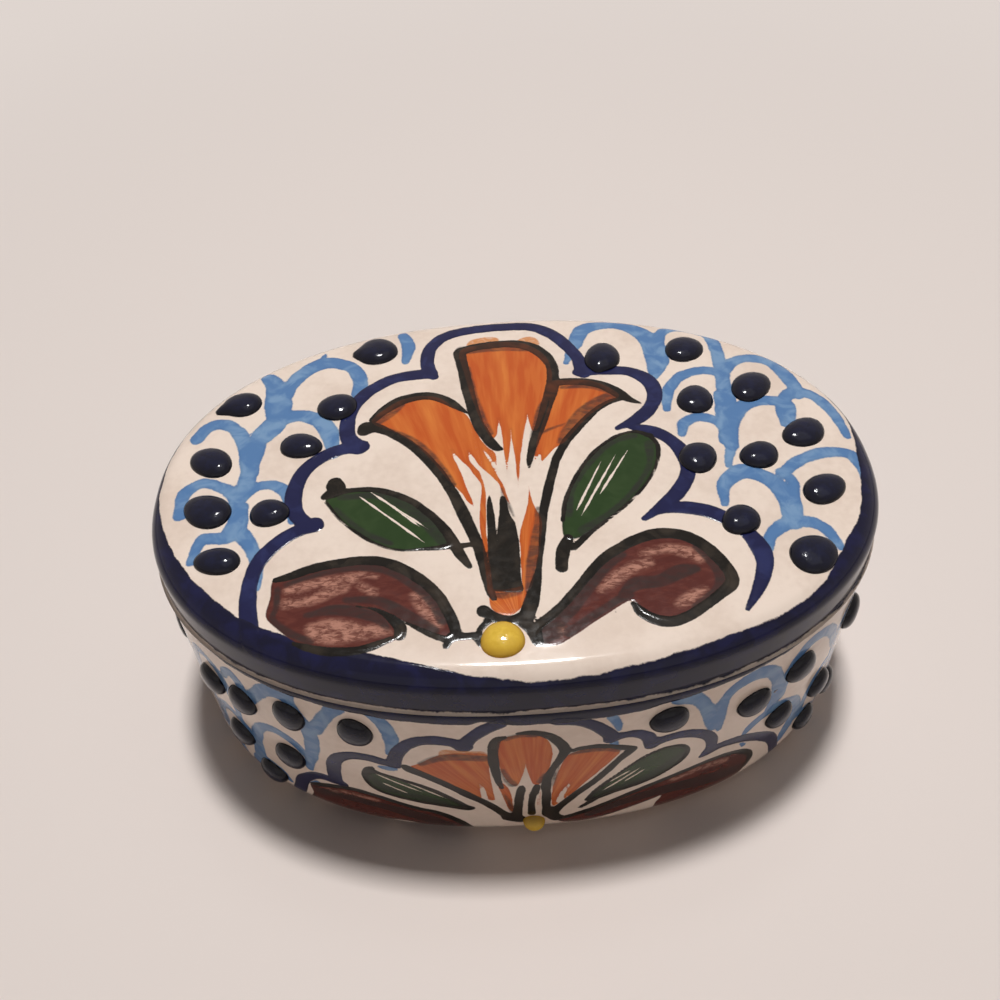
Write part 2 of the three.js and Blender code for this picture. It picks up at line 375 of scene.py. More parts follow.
def makeCreamGlaze():
    # the cream ground: soft mottling, a few specks of clay, and a slow unevenness of the surface
    tree, given, out = startGroup("creamGlaze", [("Cream", "c"), ("Shade", "c"), ("Speck", "c")],
                                  [("Color", "c"), ("Roughness", "f"), ("Height", "f")])
    place = millimetres(tree)
    slow = noise(tree, place, 0.09, 3)
    fine = noise(tree, place, 0.9, 3)
    mottle = calc(tree, "ADD", calc(tree, "MULTIPLY", slow, 0.7), calc(tree, "MULTIPLY", fine, 0.3))
    ground = mixColour(tree, ramp(tree, mottle, 0.4, 0.68), given["Cream"], given["Shade"])
    cell = addNode(tree, "ShaderNodeTexVoronoi")
    feed(tree, cell.inputs["Vector"], place)
    cell.inputs["Scale"].default_value = 0.16
    dot = ramp(tree, cell.outputs["Distance"], 0.018, 0.034, 1.0, 0.0)
    tint = addNode(tree, "ShaderNodeSeparateColor")
    feed(tree, tint.inputs[0], cell.outputs["Color"])
    seldom = ramp(tree, tint.outputs[0], 0.55, 0.75)
    speck = calc(tree, "MULTIPLY", calc(tree, "MULTIPLY", dot, seldom), 0.6)
    feed(tree, out["Color"], mixColour(tree, speck, ground, given["Speck"]))
    feed(tree, out["Roughness"], ramp(tree, fine, 0.3, 0.7, 0.09, 0.17))
    swell = calc(tree, "MULTIPLY", slow, 0.6)
    feed(tree, out["Height"], calc(tree, "ADD", swell, calc(tree, "MULTIPLY", fine, 0.05)))
    return tree


def makeFanStreaks():
    # streaks that fan out from one point, as brush hairs leave them in a petal
    tree, given, out = startGroup("fanStreaks", [("Spot", "v"), ("Base", "v"), ("Hairs", "f")],
                                  [("Streak", "f"), ("Fine", "f")])
    away = addNode(tree, "ShaderNodeVectorMath", operation="SUBTRACT")
    feed(tree, away.inputs[0], given["Spot"])
    feed(tree, away.inputs[1], given["Base"])
    parts = addNode(tree, "ShaderNodeSeparateXYZ")
    feed(tree, parts.inputs[0], away.outputs[0])
    turn = calc(tree, "ARCTAN2", parts.outputs[0], parts.outputs[1])
    length = addNode(tree, "ShaderNodeVectorMath", operation="LENGTH")
    feed(tree, length.inputs[0], away.outputs[0])
    fan = addNode(tree, "ShaderNodeCombineXYZ")
    feed(tree, fan.inputs[0], calc(tree, "MULTIPLY", turn, given["Hairs"]))
    feed(tree, fan.inputs[1], calc(tree, "MULTIPLY", length.outputs["Value"], 0.09))
    broad = noise(tree, fan.outputs[0], 0.35, 2)
    hair = noise(tree, fan.outputs[0], 1.3, 2)
    feed(tree, out["Streak"], ramp(tree, broad, 0.42, 0.66))
    feed(tree, out["Fine"], ramp(tree, hair, 0.4, 0.66))
    return tree


def makeBareClay():
    # unglazed fired clay: sandy, matt, with dark and pale grains
    tree, given, out = startGroup("bareClay", [("Clay", "c"), ("Grain", "c")], [("Color", "c"), ("Height", "f")])
    place = millimetres(tree, 7.0)
    sand = noise(tree, place, 3.5, 4, roughness=0.7)
    cloud = noise(tree, place, 0.3, 2)
    share = calc(tree, "ADD", ramp(tree, sand, 0.45, 0.75, 0.0, 0.8), ramp(tree, cloud, 0.4, 0.7, 0.0, 0.3))
    feed(tree, out["Color"], mixColour(tree, share, given["Clay"], given["Grain"]))
    feed(tree, out["Height"], sand)
    return tree


brushLayer = makeBrushLayer()
sheerLayer = makeSheerLayer()
creamGlaze = makeCreamGlaze()
fanStreaks = makeFanStreaks()
bareClay = makeBareClay()

palette = {
    "cream": rgb(234, 215, 200), "creamShade": rgb(222, 201, 185), "speck": rgb(95, 75, 60),
    "lightBlue": rgb(84, 122, 168), "lightBlueThin": rgb(118, 150, 184),
    "navy": rgb(23, 26, 66), "navyThin": rgb(36, 42, 86),
    "orange": rgb(190, 84, 30), "orangeThin": rgb(212, 120, 52), "smear": rgb(206, 134, 78),
    "green": rgb(36, 58, 24), "greenThin": rgb(48, 68, 34),
    "maroon": rgb(84, 36, 30), "maroonThin": rgb(98, 47, 38), "pale": rgb(176, 124, 106),
    "wash": rgb(42, 39, 38), "outline": rgb(20, 16, 11), "outlineThin": rgb(52, 44, 36),
    "warmLine": rgb(52, 28, 16), "warmLineThin": rgb(84, 42, 22),
    "band": rgb(12, 13, 42), "bandThin": rgb(20, 22, 62),
    "clay": rgb(196, 160, 128), "clayGrain": rgb(150, 112, 84),
}
# a drop at its rim, over its crown, where it is lighter, and where the glaze in it is warmer
dropPalette = {
    "navy": [rgb(11, 11, 22), rgb(20, 24, 50), rgb(16, 16, 34)],
    "yellow": [rgb(200, 154, 42), rgb(228, 190, 74), rgb(208, 163, 50)],
}
# how each paint lies: from which to which value of the cloud in it it runs thin, and how thin it
# gets, how dark it pools at its edge, how soft that edge is, and its thickness in millimetres as
# the shader's relief and as a rise of the surface
brushwork = {
    "lightBlue": {"thin": (0.4, 0.68, 0.0, 1.0), "pool": 0.12, "soft": 0.12, "relief": 0.012, "rise": 0.02},
    "navy": {"thin": (0.45, 0.75, 0.0, 1.0), "pool": 0.2, "soft": 0.08, "relief": 0.03, "rise": 0.05},
    "band": {"thin": (0.4, 0.72, 0.0, 1.0), "pool": 0.2, "soft": 0.09, "relief": 0.05, "rise": 0.03},
    "orange": {"pool": 0.1, "soft": 0.06, "relief": 0.012, "rise": 0.012},
    "green": {"thin": (0.4, 0.7, 0.0, 0.7), "pool": 0.4, "soft": 0.08, "relief": 0.025, "rise": 0.03},
    "maroon": {"thin": (0.4, 0.7, 0.0, 1.0), "pool": 0.2, "soft": 0.08, "relief": 0.02, "rise": 0.02},
    "scratch": {"pool": 0.0, "soft": 0.05, "relief": -0.04},
    "outline": {"thin": (0.42, 0.72, 0.0, 1.0), "pool": 0.25, "soft": 0.07, "relief": 0.012, "rise": 0.01},
}
# how far outside its edge a paint starts to rise, and over what width it comes to its full height
paintEdge = {"out": 0.2, "width": 0.5}
flowerBase = {"lid": (-0.8, -28.0, 0), "bowl": (0, -31.0, 0)}  # where the petals of a flower meet
# the unsteady hand: size of the waves in an edge and how far they go, in millimetres
hand = {"slow": (0.45, 0.07), "quick": (3.2, 0.025)}
glaze = {"refraction": 1.3, "unevenness": 0.04, "hairs": 34.0, "clayRelief": 0.12, "clayRoughness": 0.6}


def paintedGlaze(name, flowerBase):
    material = bpy.data.materials.new(name)
    material.use_nodes = True
    tree = material.node_tree
    shader = tree.nodes["Principled BSDF"]
    place = millimetres(tree)
    spot = readField(tree, "spot").outputs["Vector"]

    def wave(size, reach):
        return ramp(tree, noise(tree, place, size, 2), 0.25, 0.75, -reach, reach, smooth=False)

    def field(paint):
        return readField(tree, paint).outputs["Fac"]

    ground = useGroup(tree, creamGlaze, Cream=palette["cream"], Shade=palette["creamShade"], Speck=palette["speck"])
    waver = calc(tree, "ADD", wave(*hand["slow"]), wave(*hand["quick"]))
    loose = calc(tree, "MULTIPLY", waver, 2.0)
    fan = useGroup(tree, fanStreaks, Spot=spot, Base=flowerBase, Hairs=glaze["hairs"])
    hairs = calc(tree, "ADD", calc(tree, "MULTIPLY", fan["Streak"], 0.6), calc(tree, "MULTIPLY", fan["Fine"], 0.4))
    cloud = noise(tree, place, 0.32, 3, 0.6)
    patchy = noise(tree, place, 0.75, 4, 1.2, 0.6)
    dragged = addNode(tree, "ShaderNodeVectorMath", operation="MULTIPLY")
    feed(tree, dragged.inputs[0], place)
    dragged.inputs[1].default_value = (0.5, 1.2, 1)
    brushed = noise(tree, dragged.outputs[0], 0.9, 3, 0.6, 0.6)

    def brush(under, height, paint, uneven=cloud, shake=waver, edge=None, colours=None):
        way = brushwork[paint]
        full, thin = colours or (palette[paint], palette[paint + "Thin"])
        streak = ramp(tree, uneven, *way["thin"]) if "thin" in way else uneven
        layer = useGroup(tree, brushLayer, Under=under, Field=edge or field(paint), Waver=shake, Paint=full,
                         Thin=thin, Streak=streak, Pool=way["pool"], Soft=way["soft"])
        return layer["Color"], calc(tree, "ADD", height, calc(tree, "MULTIPLY", layer["Relief"], way["relief"]))

    def film(under, paint, amount, soft):
        layer = useGroup(tree, sheerLayer, Under=under, Field=field(paint), Waver=waver, Paint=palette[paint],
                         Amount=amount, Soft=soft)
        return layer["Color"]

    colour = ground["Color"]
    relief = calc(tree, "MULTIPLY", ground["Height"], glaze["unevenness"])
    colour, relief = brush(colour, relief, "lightBlue", shake=loose)
    colour, relief = brush(colour, relief, "navy")
    colour, relief = brush(colour, relief, "band", shake=loose)
    colour = film(colour, "smear", ramp(tree, patchy, 0.3, 0.6, 0.55, 0.95), 0.16)
    colour, relief = brush(colour, relief, "orange", hairs)
    colour, relief = brush(colour, relief, "green")
    colour, relief = brush(colour, relief, "maroon", brushed)
    # the pink shows in the maroon only, and not at its edge
    inMaroon = ramp(tree, field("maroon"), -0.9, -0.2, 1.0, 0.0)
    mottle = ramp(tree, noise(tree, dragged.outputs[0], 1.6, 4, 0.5, 0.68), 0.38, 0.62, 0.15, 1.0)
    colour = film(colour, "pale", calc(tree, "MULTIPLY", mottle, inMaroon), 0.55)
    colour = film(colour, "wash", ramp(tree, brushed, 0.35, 0.65, 0.5, 0.8), 0.22)
    colour, relief = brush(colour, relief, "scratch", 0.0, edge=scratchField(tree),
                           colours=(palette["cream"], palette["cream"]))
    # the line paint is thin enough to turn brown over the orange
    overOrange = ramp(tree, field("orange"), -0.15, 0.1, 1.0, 0.0)
    line = mixColour(tree, overOrange, palette["outline"], palette["warmLine"])
    thinLine = mixColour(tree, overOrange, palette["outlineThin"], palette["warmLineThin"])
    colour, relief = brush(colour, relief, "outline", colours=(line, thinLine))

    clay = useGroup(tree, bareClay, Clay=palette["clay"], Grain=palette["clayGrain"])
    bare = ramp(tree, calc(tree, "ADD", field("bare"), waver), -0.12, 0.12, 1.0, 0.0)
    colour = mixColour(tree, bare, colour, clay["Color"])
    roughness = calc(tree, "ADD", ground["Roughness"], calc(tree, "MULTIPLY", bare, glaze["clayRoughness"]))
    clayHeight = calc(tree, "MULTIPLY", calc(tree, "MULTIPLY", clay["Height"], bare), glaze["clayRelief"])
    finishGlaze(tree, shader, colour, roughness, calc(tree, "ADD", relief, clayHeight))
    return material


def finishGlaze(tree, shader, colour, roughness, height):
    # heights are in millimetres
    bump = addNode(tree, "ShaderNodeBump")
    bump.inputs["Distance"].default_value = mm
    feed(tree, bump.inputs["Height"], height)
    feed(tree, shader.inputs["Base Color"], colour)
    feed(tree, shader.inputs["Roughness"], roughness)
    feed(tree, shader.inputs["Normal"], bump.outputs[0])
    shader.inputs["IOR"].default_value = glaze["refraction"]


# lines cut through the wet leaf: half their width, and the share of the way from where they taper
scratch = {"names": ["scratchA", "scratchB", "scratchC"], "half": 0.14, "taperFrom": 0.6}


def scratchField(tree):
    # each attribute holds how far aside of its line a spot is and how far along
    nearest = farAway
    for name in scratch["names"]:
        parts = addNode(tree, "ShaderNodeSeparateXYZ")
        feed(tree, parts.inputs[0], readField(tree, name).outputs["Vector"])
        aside, along = (calc(tree, "ABSOLUTE", parts.outputs[axis]) for axis in (0, 1))
        line = calc(tree, "SUBTRACT", aside, ramp(tree, along, scratch["taperFrom"], 1.0, scratch["half"], 0.0))
        line = calc(tree, "ADD", line, ramp(tree, along, 0.98, 1.05, 0.0, 1.0))
        nearest = calc(tree, "MINIMUM", nearest, line)
    return nearest


def scratchCoordinates(spots, lines):
    # aside (millimetres, signed) and along (-1 to 1) of the nearest of some far apart lines
    best = np.full(len(spots), np.inf)
    kept = np.zeros((len(spots), 3))
    for start, end in lines:
        start, end = np.array(start, float), np.array(end, float)
        way = (end - start) / np.linalg.norm(end - start)
        half = np.linalg.norm(end - start) / 2
        away = spots - (start + end) / 2
        along, aside = away @ way, away @ np.array([way[1], -way[0]])
        distance = np.hypot(along, aside)
        closer = distance < best
        best = np.where(closer, distance, best)
        kept[closer] = np.stack([aside, along / half, 0 * aside], 1)[closer]
    return kept


def dropGlaze(name, rimColour, crown, warm):
    # a bead of thick glaze, darker at its rim and lighter towards the top of its crown
    material = bpy.data.materials.new(name)
    material.use_nodes = True
    tree = material.node_tree
    shader = tree.nodes["Principled BSDF"]
    place = millimetres(tree, 3.0)
    cloud = noise(tree, place, 0.9, 3, 0.4)
    height = readField(tree, "crown").outputs["Fac"]
    # the colour turns lighter with the height on the dome
    crownShare = calc(tree, "MULTIPLY", height, ramp(tree, cloud, 0.3, 0.7, 0.5, 1.0))
    colour = mixColour(tree, crownShare, rimColour, crown)
    colour = mixColour(tree, ramp(tree, noise(tree, place, 2.2, 3), 0.5, 0.75, 0.0, 0.35), colour, warm)
    roughness = ramp(tree, cloud, 0.3, 0.7, 0.06, 0.12)
    finishGlaze(tree, shader, colour, roughness, calc(tree, "MULTIPLY", noise(tree, place, 1.1, 2), 0.05))
    return material


# lid
lid = {
    "foot": 35, "side": 4.3, "shoulder": 2.8, "crown": 1.0, "thickness": 4.2, "lipRound": 0.5, "flangeDepth": 3,
    "flangeOuter": -5.0, "flangeThickness": 3, "flangeRound": 0.7, "ceilingRound": 1.6,
    "spokes": 540, "topSpacing": 0.4, "sideSpacing": 0.45, "fineSide": 1.6, "lipSpacing": 0.16,
    "seatSpacing": 1.2, "flangeSpacing": 0.8, "mouthSpacing": 0.9, "underSpacing": 2.4,
    # the glaze's bead round the lip: how far it stands out, its height and half its depth
    "bead": 0.45, "beadHeight": 0.3, "beadDepth": 0.2,
    # the cream line that the navy band leaves at the lip: its height, and waves of height and turns
    "creamLip": 0.62, "lipWaves": [(-0.1, 2 * math.pi), (0.08, 61), (0.05, 143)],
}

# where the navy band of the lid begins: share of the girth from the front middle, and how far
# inside the outline
lidBand = [
    (-0.5, 0.9), (-0.42, 0.6), (-0.34, 1.0), (-0.28, 0.9), (-0.245, 1.2), (-0.215, 2.3), (-0.19, 2.8), (-0.16, 2.9),
    (-0.14, 2.7), (-0.11, 3.0), (-0.075, 3.3), (-0.05, 2.6), (-0.03, 1.5), (0.0, 0.55), (0.03, 0.7), (0.055, 1.1),
    (0.09, 1.5), (0.12, 1.2), (0.138, 1.3), (0.15, 1.6), (0.165, 2.5), (0.18, 2.9), (0.2, 2.6), (0.22, 2.9),
    (0.24, 2.6), (0.255, 2.0), (0.275, 1.0), (0.34, 0.7), (0.42, 1.0), (0.5, 0.9),
]

lidStrokes = {
    "navy": [
        (2.3, [(-34.3, -26.5, 2.6), (-35.0, -22), (-35.0, -18, 2.1), (-34.0, -14.5), (-31.5, -11.5), (-29, -9.9),
               (-27.4, -9.3, 2.8)]),
        (2.3, [(-28.2, -9.3), (-30, -7), (-30.6, -3.2, 2.5), (-29.6, 0.8), (-27.4, 3.5), (-24.5, 5), (-21.4, 5.3)]),
        (2.3, [(-22.0, 5.2, 3.0), (-23.6, 7.6, 2.4), (-23.7, 12), (-22.5, 15.5), (-20, 18.5), (-16.5, 20.6),
               (-11.6, 21.1, 2.6)]),
        (2.2, [(-11.6, 21.2), (-12.0, 24.6), (-11.2, 28.2), (-8.6, 31), (-4, 32.2), (2, 32.4), (5.2, 31.8),
               (8, 29.6, 2.4), (10.2, 26), (11.6, 22.5), (11.9, 19.2, 2.6)]),
        (2.2, [(11.3, 19.3, 2.0), (15, 19.4), (19, 18.8), (21.5, 16.5, 2.6), (22.1, 13.5, 2.4), (21.2, 10.5),
               (19, 7.9), (15.6, 5.9, 1.0)]),
        (2.2, [(17.6, 6.0, 1.2), (20.6, 4.9), (22.8, 2.8), (24.1, 0, 2.5), (24.3, -3), (23.3, -5.6), (21, -8.6),
               (16.9, -11.9, 0.9)]),
        (2.2, [(18.2, -10.7, 1.2), (22, -10.2), (26, -11.4, 2.4), (29.5, -14.4), (31.1, -18, 2.7), (31.0, -21),
               (29.3, -24.6, 1.6), (27.4, -27.4, 0.6)]),
        blot(-26.9, -9.5, 1.9), blot(-21.2, 5.8, 1.5), blot(-11.0, 20.3, 1.6), blot(12.0, 18.9, 2.2),
    ],
    "lightBlue": [
        (2.4, [(-34.5, 12), (-34.2, 16), (-32.4, 22, 2.6), (-28.6, 25.6, 3.0), (-24.6, 24.6), (-22.5, 21.5),
               (-22.3, 17.0)]),
        (1.0, [(-28.8, 25.5, 1.6), (-28.2, 28.2, 0.5)]),
        (3.0, [(-37.0, 23.2, 2.2), (-35.4, 20.5, 3.2), (-34.6, 16, 4.2), (-34.4, 12, 3.4), (-36, 9)]),
        (2.7, [(-37.3, 1.5), (-37.2, 7), (-35.2, 11.6, 3.2), (-31.4, 13.2), (-28.2, 11.8), (-26.3, 8.6),
               (-25.6, 4.0, 1.6)]),
        (2.2, [(-46.0, 9.8), (-44.6, 12.3), (-42.2, 12.6), (-39.8, 10.2), (-38.3, 6), (-37.4, 1.2)]),
        (2.8, [(-36.6, 9.0), (-37.3, 3.0, 2.6), (-37.6, -2.0, 2.6)]),
        (1.9, [(-46.1, -5.6), (-46.2, -1.6, 2.0), (-43.8, 0.4), (-40.8, -0.9), (-38.6, -3.2, 2.4), (-38.3, -8.0)]),
        (1.8, [(-38.2, -3.6), (-36.2, -1.4), (-33.6, -1.2), (-31.2, -3.6, 2.2), (-30.4, -8.4, 1.2)]),
        (3.2, [(-37.6, -5.0, 2.0), (-38.2, -9.0, 3.2), (-39.4, -10.4, 2.2), (-42.4, -10.4, 1.9),
               (-43.4, -14.2, 1.2)]),
        (2.0, [(-38.0, -9.0, 2.6), (-35.6, -12.2), (-34.4, -16, 1.8), (-34.1, -19.4, 0.9)]),
        (2.2, [(-15.9, 31.8, 1.8), (-15.0, 28.6, 2.3), (-15.4, 24.4, 1.2)]),
        (2.3, [(9.6, 21.8, 0.9), (11.4, 26.4), (13.2, 30.4, 2.8), (17.4, 31.4, 2.0), (21.2, 29.8, 2.6),
               (23.4, 26.4, 3.6), (23.8, 21.6, 3.8), (22.6, 17.2, 1.4)]),
        (2.2, [(24.0, 24.6), (25.8, 28.8, 1.8), (29.4, 29.6, 1.4), (32.6, 28.0), (33.4, 23.6), (33.0, 17.4),
               (32.2, 9.4, 2.6)]),
        (1.9, [(23.3, 9.6, 1.3), (24.2, 13.6), (26.8, 17.2), (30.6, 18.3), (33.4, 17.0)]),
        (2.0, [(33.2, 17.4), (35.4, 20.2), (38.4, 20.9), (41.4, 19.2, 2.2), (43.2, 14.4, 2.4), (43.4, 11.6)]),
        (1.9, [(39.6, 5.2, 1.0), (40.4, 9.4), (42.8, 12.3, 2.2), (45.8, 11.0, 2.0), (47.6, 7.2), (48.2, 2.2, 1.2)]),
        (1.9, [(24.6, 4.0, 1.3), (25.4, 6.4), (27.8, 7.5), (30.4, 6.0), (31.2, 2.0), (29.9, -2.8, 0.9)]),
        (2.2, [(31.2, 1.2), (32.0, 6.0, 2.8), (35.0, 9.8, 2.4), (38.6, 10.6, 2.2), (41.2, 9.2, 2.4),
               (40.2, 3.6, 1.1)]),
        (3.4, [(32.4, 12.0), (31.8, 7.4, 3.2), (30.8, 2.2, 2.2)]),
        (1.9, [(37.2, -4.8), (39.6, -2.6), (43.4, -1.0, 2.1), (47.0, -1.2), (48.4, -3.6), (48.2, -8.6, 1.0)]),
        (2.2, [(28.0, -10.0, 1.0), (28.8, -6.2, 2.2), (31.8, -4.0, 2.8), (35.0, -5.8, 2.6), (36.8, -9.6, 3.2),
               (36.6, -13.6, 2.8)]),
        (1.9, [(32.0, -18.6, 1.0), (33.2, -15.6), (36.4, -13.6, 2.2), (40.0, -14.6), (41.6, -18.4, 1.3)]),
        (1.6, [(37.4, -9.4, 2.0), (38.2, -6.4), (37.0, -4.4)]),
    ],
    "outline": [
        blot(-20.7, 9.3, 2.7), blot(-24.9, -2.3, 2.6),
        # left petal
        (1.5, [(-20.0, 11.0, 1.3), (-18.5, 12.9, 1.8), (-16.4, 14.7, 2.1), (-14, 15.6, 1.9), (-12, 15.7, 1.8),
               (-10, 14.9, 1.8), (-8.3, 13.5, 1.6), (-7, 12.1, 1.0), (-6.2, 11.2, 0.4)]),
        (1.5, [(-21.3, 8.6, 2.0), (-20.9, 9.5, 2.3), (-19.6, 9.2, 1.9), (-17.6, 7.9, 1.5), (-15.2, 5.8, 1.4),
               (-13.1, 3.3, 1.5), (-11.8, 1.3, 1.6), (-10.5, -0.9, 1.6), (-9.5, -3.1), (-8.6, -5.2, 1.6),
               (-7.8, -7.4, 1.7), (-7.1, -9.6, 1.8), (-6.4, -11.8, 1.7), (-5.65, -14.2, 1.6), (-5.15, -16.6, 1.4),
               (-4.85, -18.8, 1.3), (-4.55, -20.8, 1.2), (-4.2, -22.6, 1.1), (-3.8, -23.6, 0.8)]),
        # middle petal
        (1.9, [(-6.9, 26.0, 2.0), (-6.6, 23.4), (-6.2, 20), (-5.7, 15.6), (-5.0, 10.8, 1.8), (-4.4, 8.0, 1.8),
               (-3.5, 5.6, 1.7), (-2.8, 4.2, 1.7), (-2.1, 3.2, 1.3), (-1.5, 2.9, 0.6)]),
        (2.1, [(-6.7, 26.3, 2.0), (-4.6, 27.2, 1.9), (-2, 27.6, 1.9), (0.5, 27.7, 1.9), (2.8, 27.3, 2.1),
               (4.9, 26.0, 2.3), (6.5, 23.8, 2.1), (7.3, 21.2, 1.9), (7.3, 18.6, 1.9), (6.9, 15.8, 2.1),
               (6.0, 12.6, 1.9), (5.2, 9.8, 1.7), (4.4, 7.2, 1.6), (3.5, 4.6, 1.4), (2.8, 2.2, 1.2),
               (2.4, 0.2, 0.9), (2.2, -1.3, 0.3)]),
        # right petal
        (1.9, [(7.4, 17.0, 1.9), (9.6, 17.1, 1.7), (12.4, 16.7, 1.7), (14.8, 15.6, 1.9), (16.7, 13.7, 2.0),
               (18.2, 12.1, 1.3), (19.6, 11.2, 0.5)]),
        (1.4, [(16.8, 12.5, 1.0), (14.8, 11.6, 1.0), (12.9, 10.1, 1.1), (11.2, 8.2, 1.2), (9.6, 6.1, 1.3),
               (8.2, 4.2, 1.3), (7.0, 2, 1.3), (6.1, 0, 1.3), (5.4, -2.4, 1.25), (4.8, -4.6, 1.3), (4.2, -7, 1.4),
               (3.6, -9.4, 1.3), (3.3, -12, 1.0), (2.9, -15, 0.8), (2.4, -18, 0.8), (2.0, -20, 1.0),
               (1.5, -22, 1.5), (1.0, -24, 1.9), (0.3, -26, 2.0), (-0.2, -27.4, 2.0)]),
        # base and the curls beside it
        (1.6, [(-5.2, -25.4, 1.8), (-4.3, -26.1, 1.5), (-3.0, -26.8, 1.4), (-1.6, -27.0, 1.4), (-0.4, -26.6, 1.6)]),
        (0.9, [(-4.7, -26.9, 1.0), (-5.7, -28, 0.8), (-6.1, -29.2, 0.8), (-5.9, -30.4, 0.6)]),
        (1.1, [(-9.4, -28.9, 1.3), (-7.8, -28.9), (-6.0, -28.9)]),
        (1.8, [(-0.2, -27.6, 1.6), (0.8, -28.8, 1.8), (1.2, -30.4, 1.4)]),
        # left green leaf
        (1.8, [(-25.0, -1.6, 2.0), (-24.6, -3.0, 2.4), (-26.2, -4.2, 1.3)]),
        (1.1, [(-25.4, -3.8, 1.3), (-22, -3.3, 0.9), (-18.2, -3.9), (-14.4, -6.1), (-11.3, -9.4, 1.2),
               (-9.2, -12.8, 1.5), (-8.2, -15.4, 1.6), (-7.4, -17.0, 1.2), (-6.7, -18.3, 0.8)]),
        (0.5, [(-26, -5.3), (-23.8, -8.8), (-20.4, -12.3), (-16.6, -14.6, 0.4), (-12.4, -14.9, 0.5),
               (-9.0, -14.7, 1.1)]),
        (0.9, [(-8.6, -14.6, 1.1), (-7.4, -14.7, 0.9), (-6.2, -14.6, 0.8)]),
        # right green leaf
        (0.6, [(6.0, -11.4), (6.7, -7.8), (8.8, -3.0), (11.6, 1.2), (14.8, 4.0), (17.8, 5.0), (20.0, 3.9, 1.0)]),
        (0.5, [(20.0, 4.0, 0.9), (20.8, 1.6, 0.7), (19.8, -2.4), (17.4, -6.4), (14.0, -10.0), (10.8, -12.7, 0.6),
               (8.6, -14.6, 0.9), (7.0, -16.2, 1.0)]),
        (1.7, [(6.4, -14.6, 1.4), (5.7, -16.2, 1.8), (5.3, -17.8, 1.8), (5.1, -19.3, 1.7)]),
        # left maroon leaf
        (1.5, [(-31.8, -18.3, 0.9), (-29.8, -17.8, 1.3), (-27, -16.8, 1.5), (-24, -16.3), (-21, -16.1),
               (-18, -16.5), (-15.4, -17.9, 1.6), (-12.8, -20.1, 1.6), (-11, -22.3), (-9.8, -24.7), (-9.0, -27),
               (-8.8, -28.6, 1.4), (-9.6, -29.4, 1.1), (-10.0, -30.2, 0.9)]),
        (1.1, [(-28.8, -28.2, 0.5), (-26.4, -29.2, 1.0), (-23.4, -29.9, 1.2), (-20.6, -29.9, 1.2),
               (-18.4, -29.3, 1.1), (-16.6, -28.5, 0.6)]),
        (0.8, [(-21.2, -23.4, 0.3), (-19.6, -23.7, 0.4), (-18, -24.5, 0.7), (-16.6, -25.7, 1.2), (-15.6, -27, 1.6),
               (-15.6, -28.2, 1.5)]),
        (0.6, [(-15.4, -26.0, 0.3), (-13.0, -27.6, 0.7), (-11.0, -28.8, 0.9), (-9.6, -29.2, 0.9)]),
        # right maroon leaf
        (1.7, [(1.2, -28.2, 1.4), (3.4, -26.4, 1.3), (5.4, -24.4, 1.2), (7.2, -22.2, 1.2), (9, -20, 1.3),
               (11, -18, 1.5), (13.4, -16.4, 1.6), (16, -15.1, 1.7), (18.6, -14.6, 1.8), (21.2, -15, 1.8),
               (23.6, -16.6, 1.8), (25.3, -19, 1.8), (26.4, -21.6, 1.8), (26.2, -23.4, 1.8), (24.4, -25.0, 1.5),
               (22.2, -26.6, 1.4), (20, -27.9, 1.5), (17.8, -28.6, 1.6), (15.6, -28, 1.6), (14.2, -26.8, 1.4),
               (13.5, -25.6, 0.8)]),
    ],
    # a thin dark wash that shades what it crosses
    "wash": [
        (2.2, [(-6.4, 26.6), (-3, 26.8, 2.0), (0.6, 26.8, 2.0), (3.6, 26.2, 1.8)]),
        (2.2, [(-19.6, 10.4, 1.6), (-18, 12.2, 2.4), (-16, 14.0, 1.4)]),
        (1.2, [(-17.8, 8.6, 0.8), (-14.4, 6.2, 1.0), (-11.8, 3.0, 1.1), (-10.0, -0.2, 1.0), (-8.4, -3.6, 0.8)]),
        (1.2, [(-5.6, 22, 0.6), (-4.8, 15, 0.9), (-3.8, 9, 1.3), (-2.9, 6.4, 1.0)]),
        (1.4, [(6.2, 14, 1.0), (5.0, 10.8, 1.6), (4.2, 7.4, 1.8), (3.4, 4.4, 1.4), (2.9, 1.6, 0.9)]),
        (1.6, [(15.6, 13.4, 1.6), (13.2, 11.9, 2.0), (11.2, 10.0, 2.2), (9.4, 7.6, 2.0), (7.9, 5.4, 1.4),
               (7.0, 3.6, 0.8)]),
        (1.3, [(8.4, 15.8, 0.8), (12.0, 15.8, 1.0), (15.2, 14.4, 1.0)]),
        (1.3, [(2.9, -9.0, 0.7), (2.6, -12, 1.2), (2.1, -15, 1.6), (1.5, -18, 1.7), (1.0, -20.6, 1.4),
               (0.7, -22.4, 1.0)]),
        (0.4, [(3.7, 5.1), (5.6, 6.4, 0.45), (8.0, 7.4, 0.35)]),
        (0.5, [(-1.8, -5.0, 0.3), (-1.6, -6.6, 0.6), (-1.0, -8.4, 0.5), (-0.5, -10.2, 0.2)]),
        (0.9, [(-4.0, -22.9, 0.7), (-2.6, -23.2, 1.0), (-0.6, -22.8, 0.8)]),
        # green leaves
        (1.6, [(-24, -4.6, 1.0), (-19, -4.8, 1.2), (-15, -7.0, 1.8), (-12, -10.2, 2.4), (-10, -13.4, 2.2)]),
        (0.9, [(-24.6, -6.6, 0.6), (-21, -10.9, 0.9), (-17, -13.6, 0.8)]),
        (1.0, [(19.6, 2.4, 1.4), (19.0, -2.0, 0.9), (16.2, -6.6, 0.8), (12.4, -10.6, 0.9), (8.6, -13.4, 1.6)]),
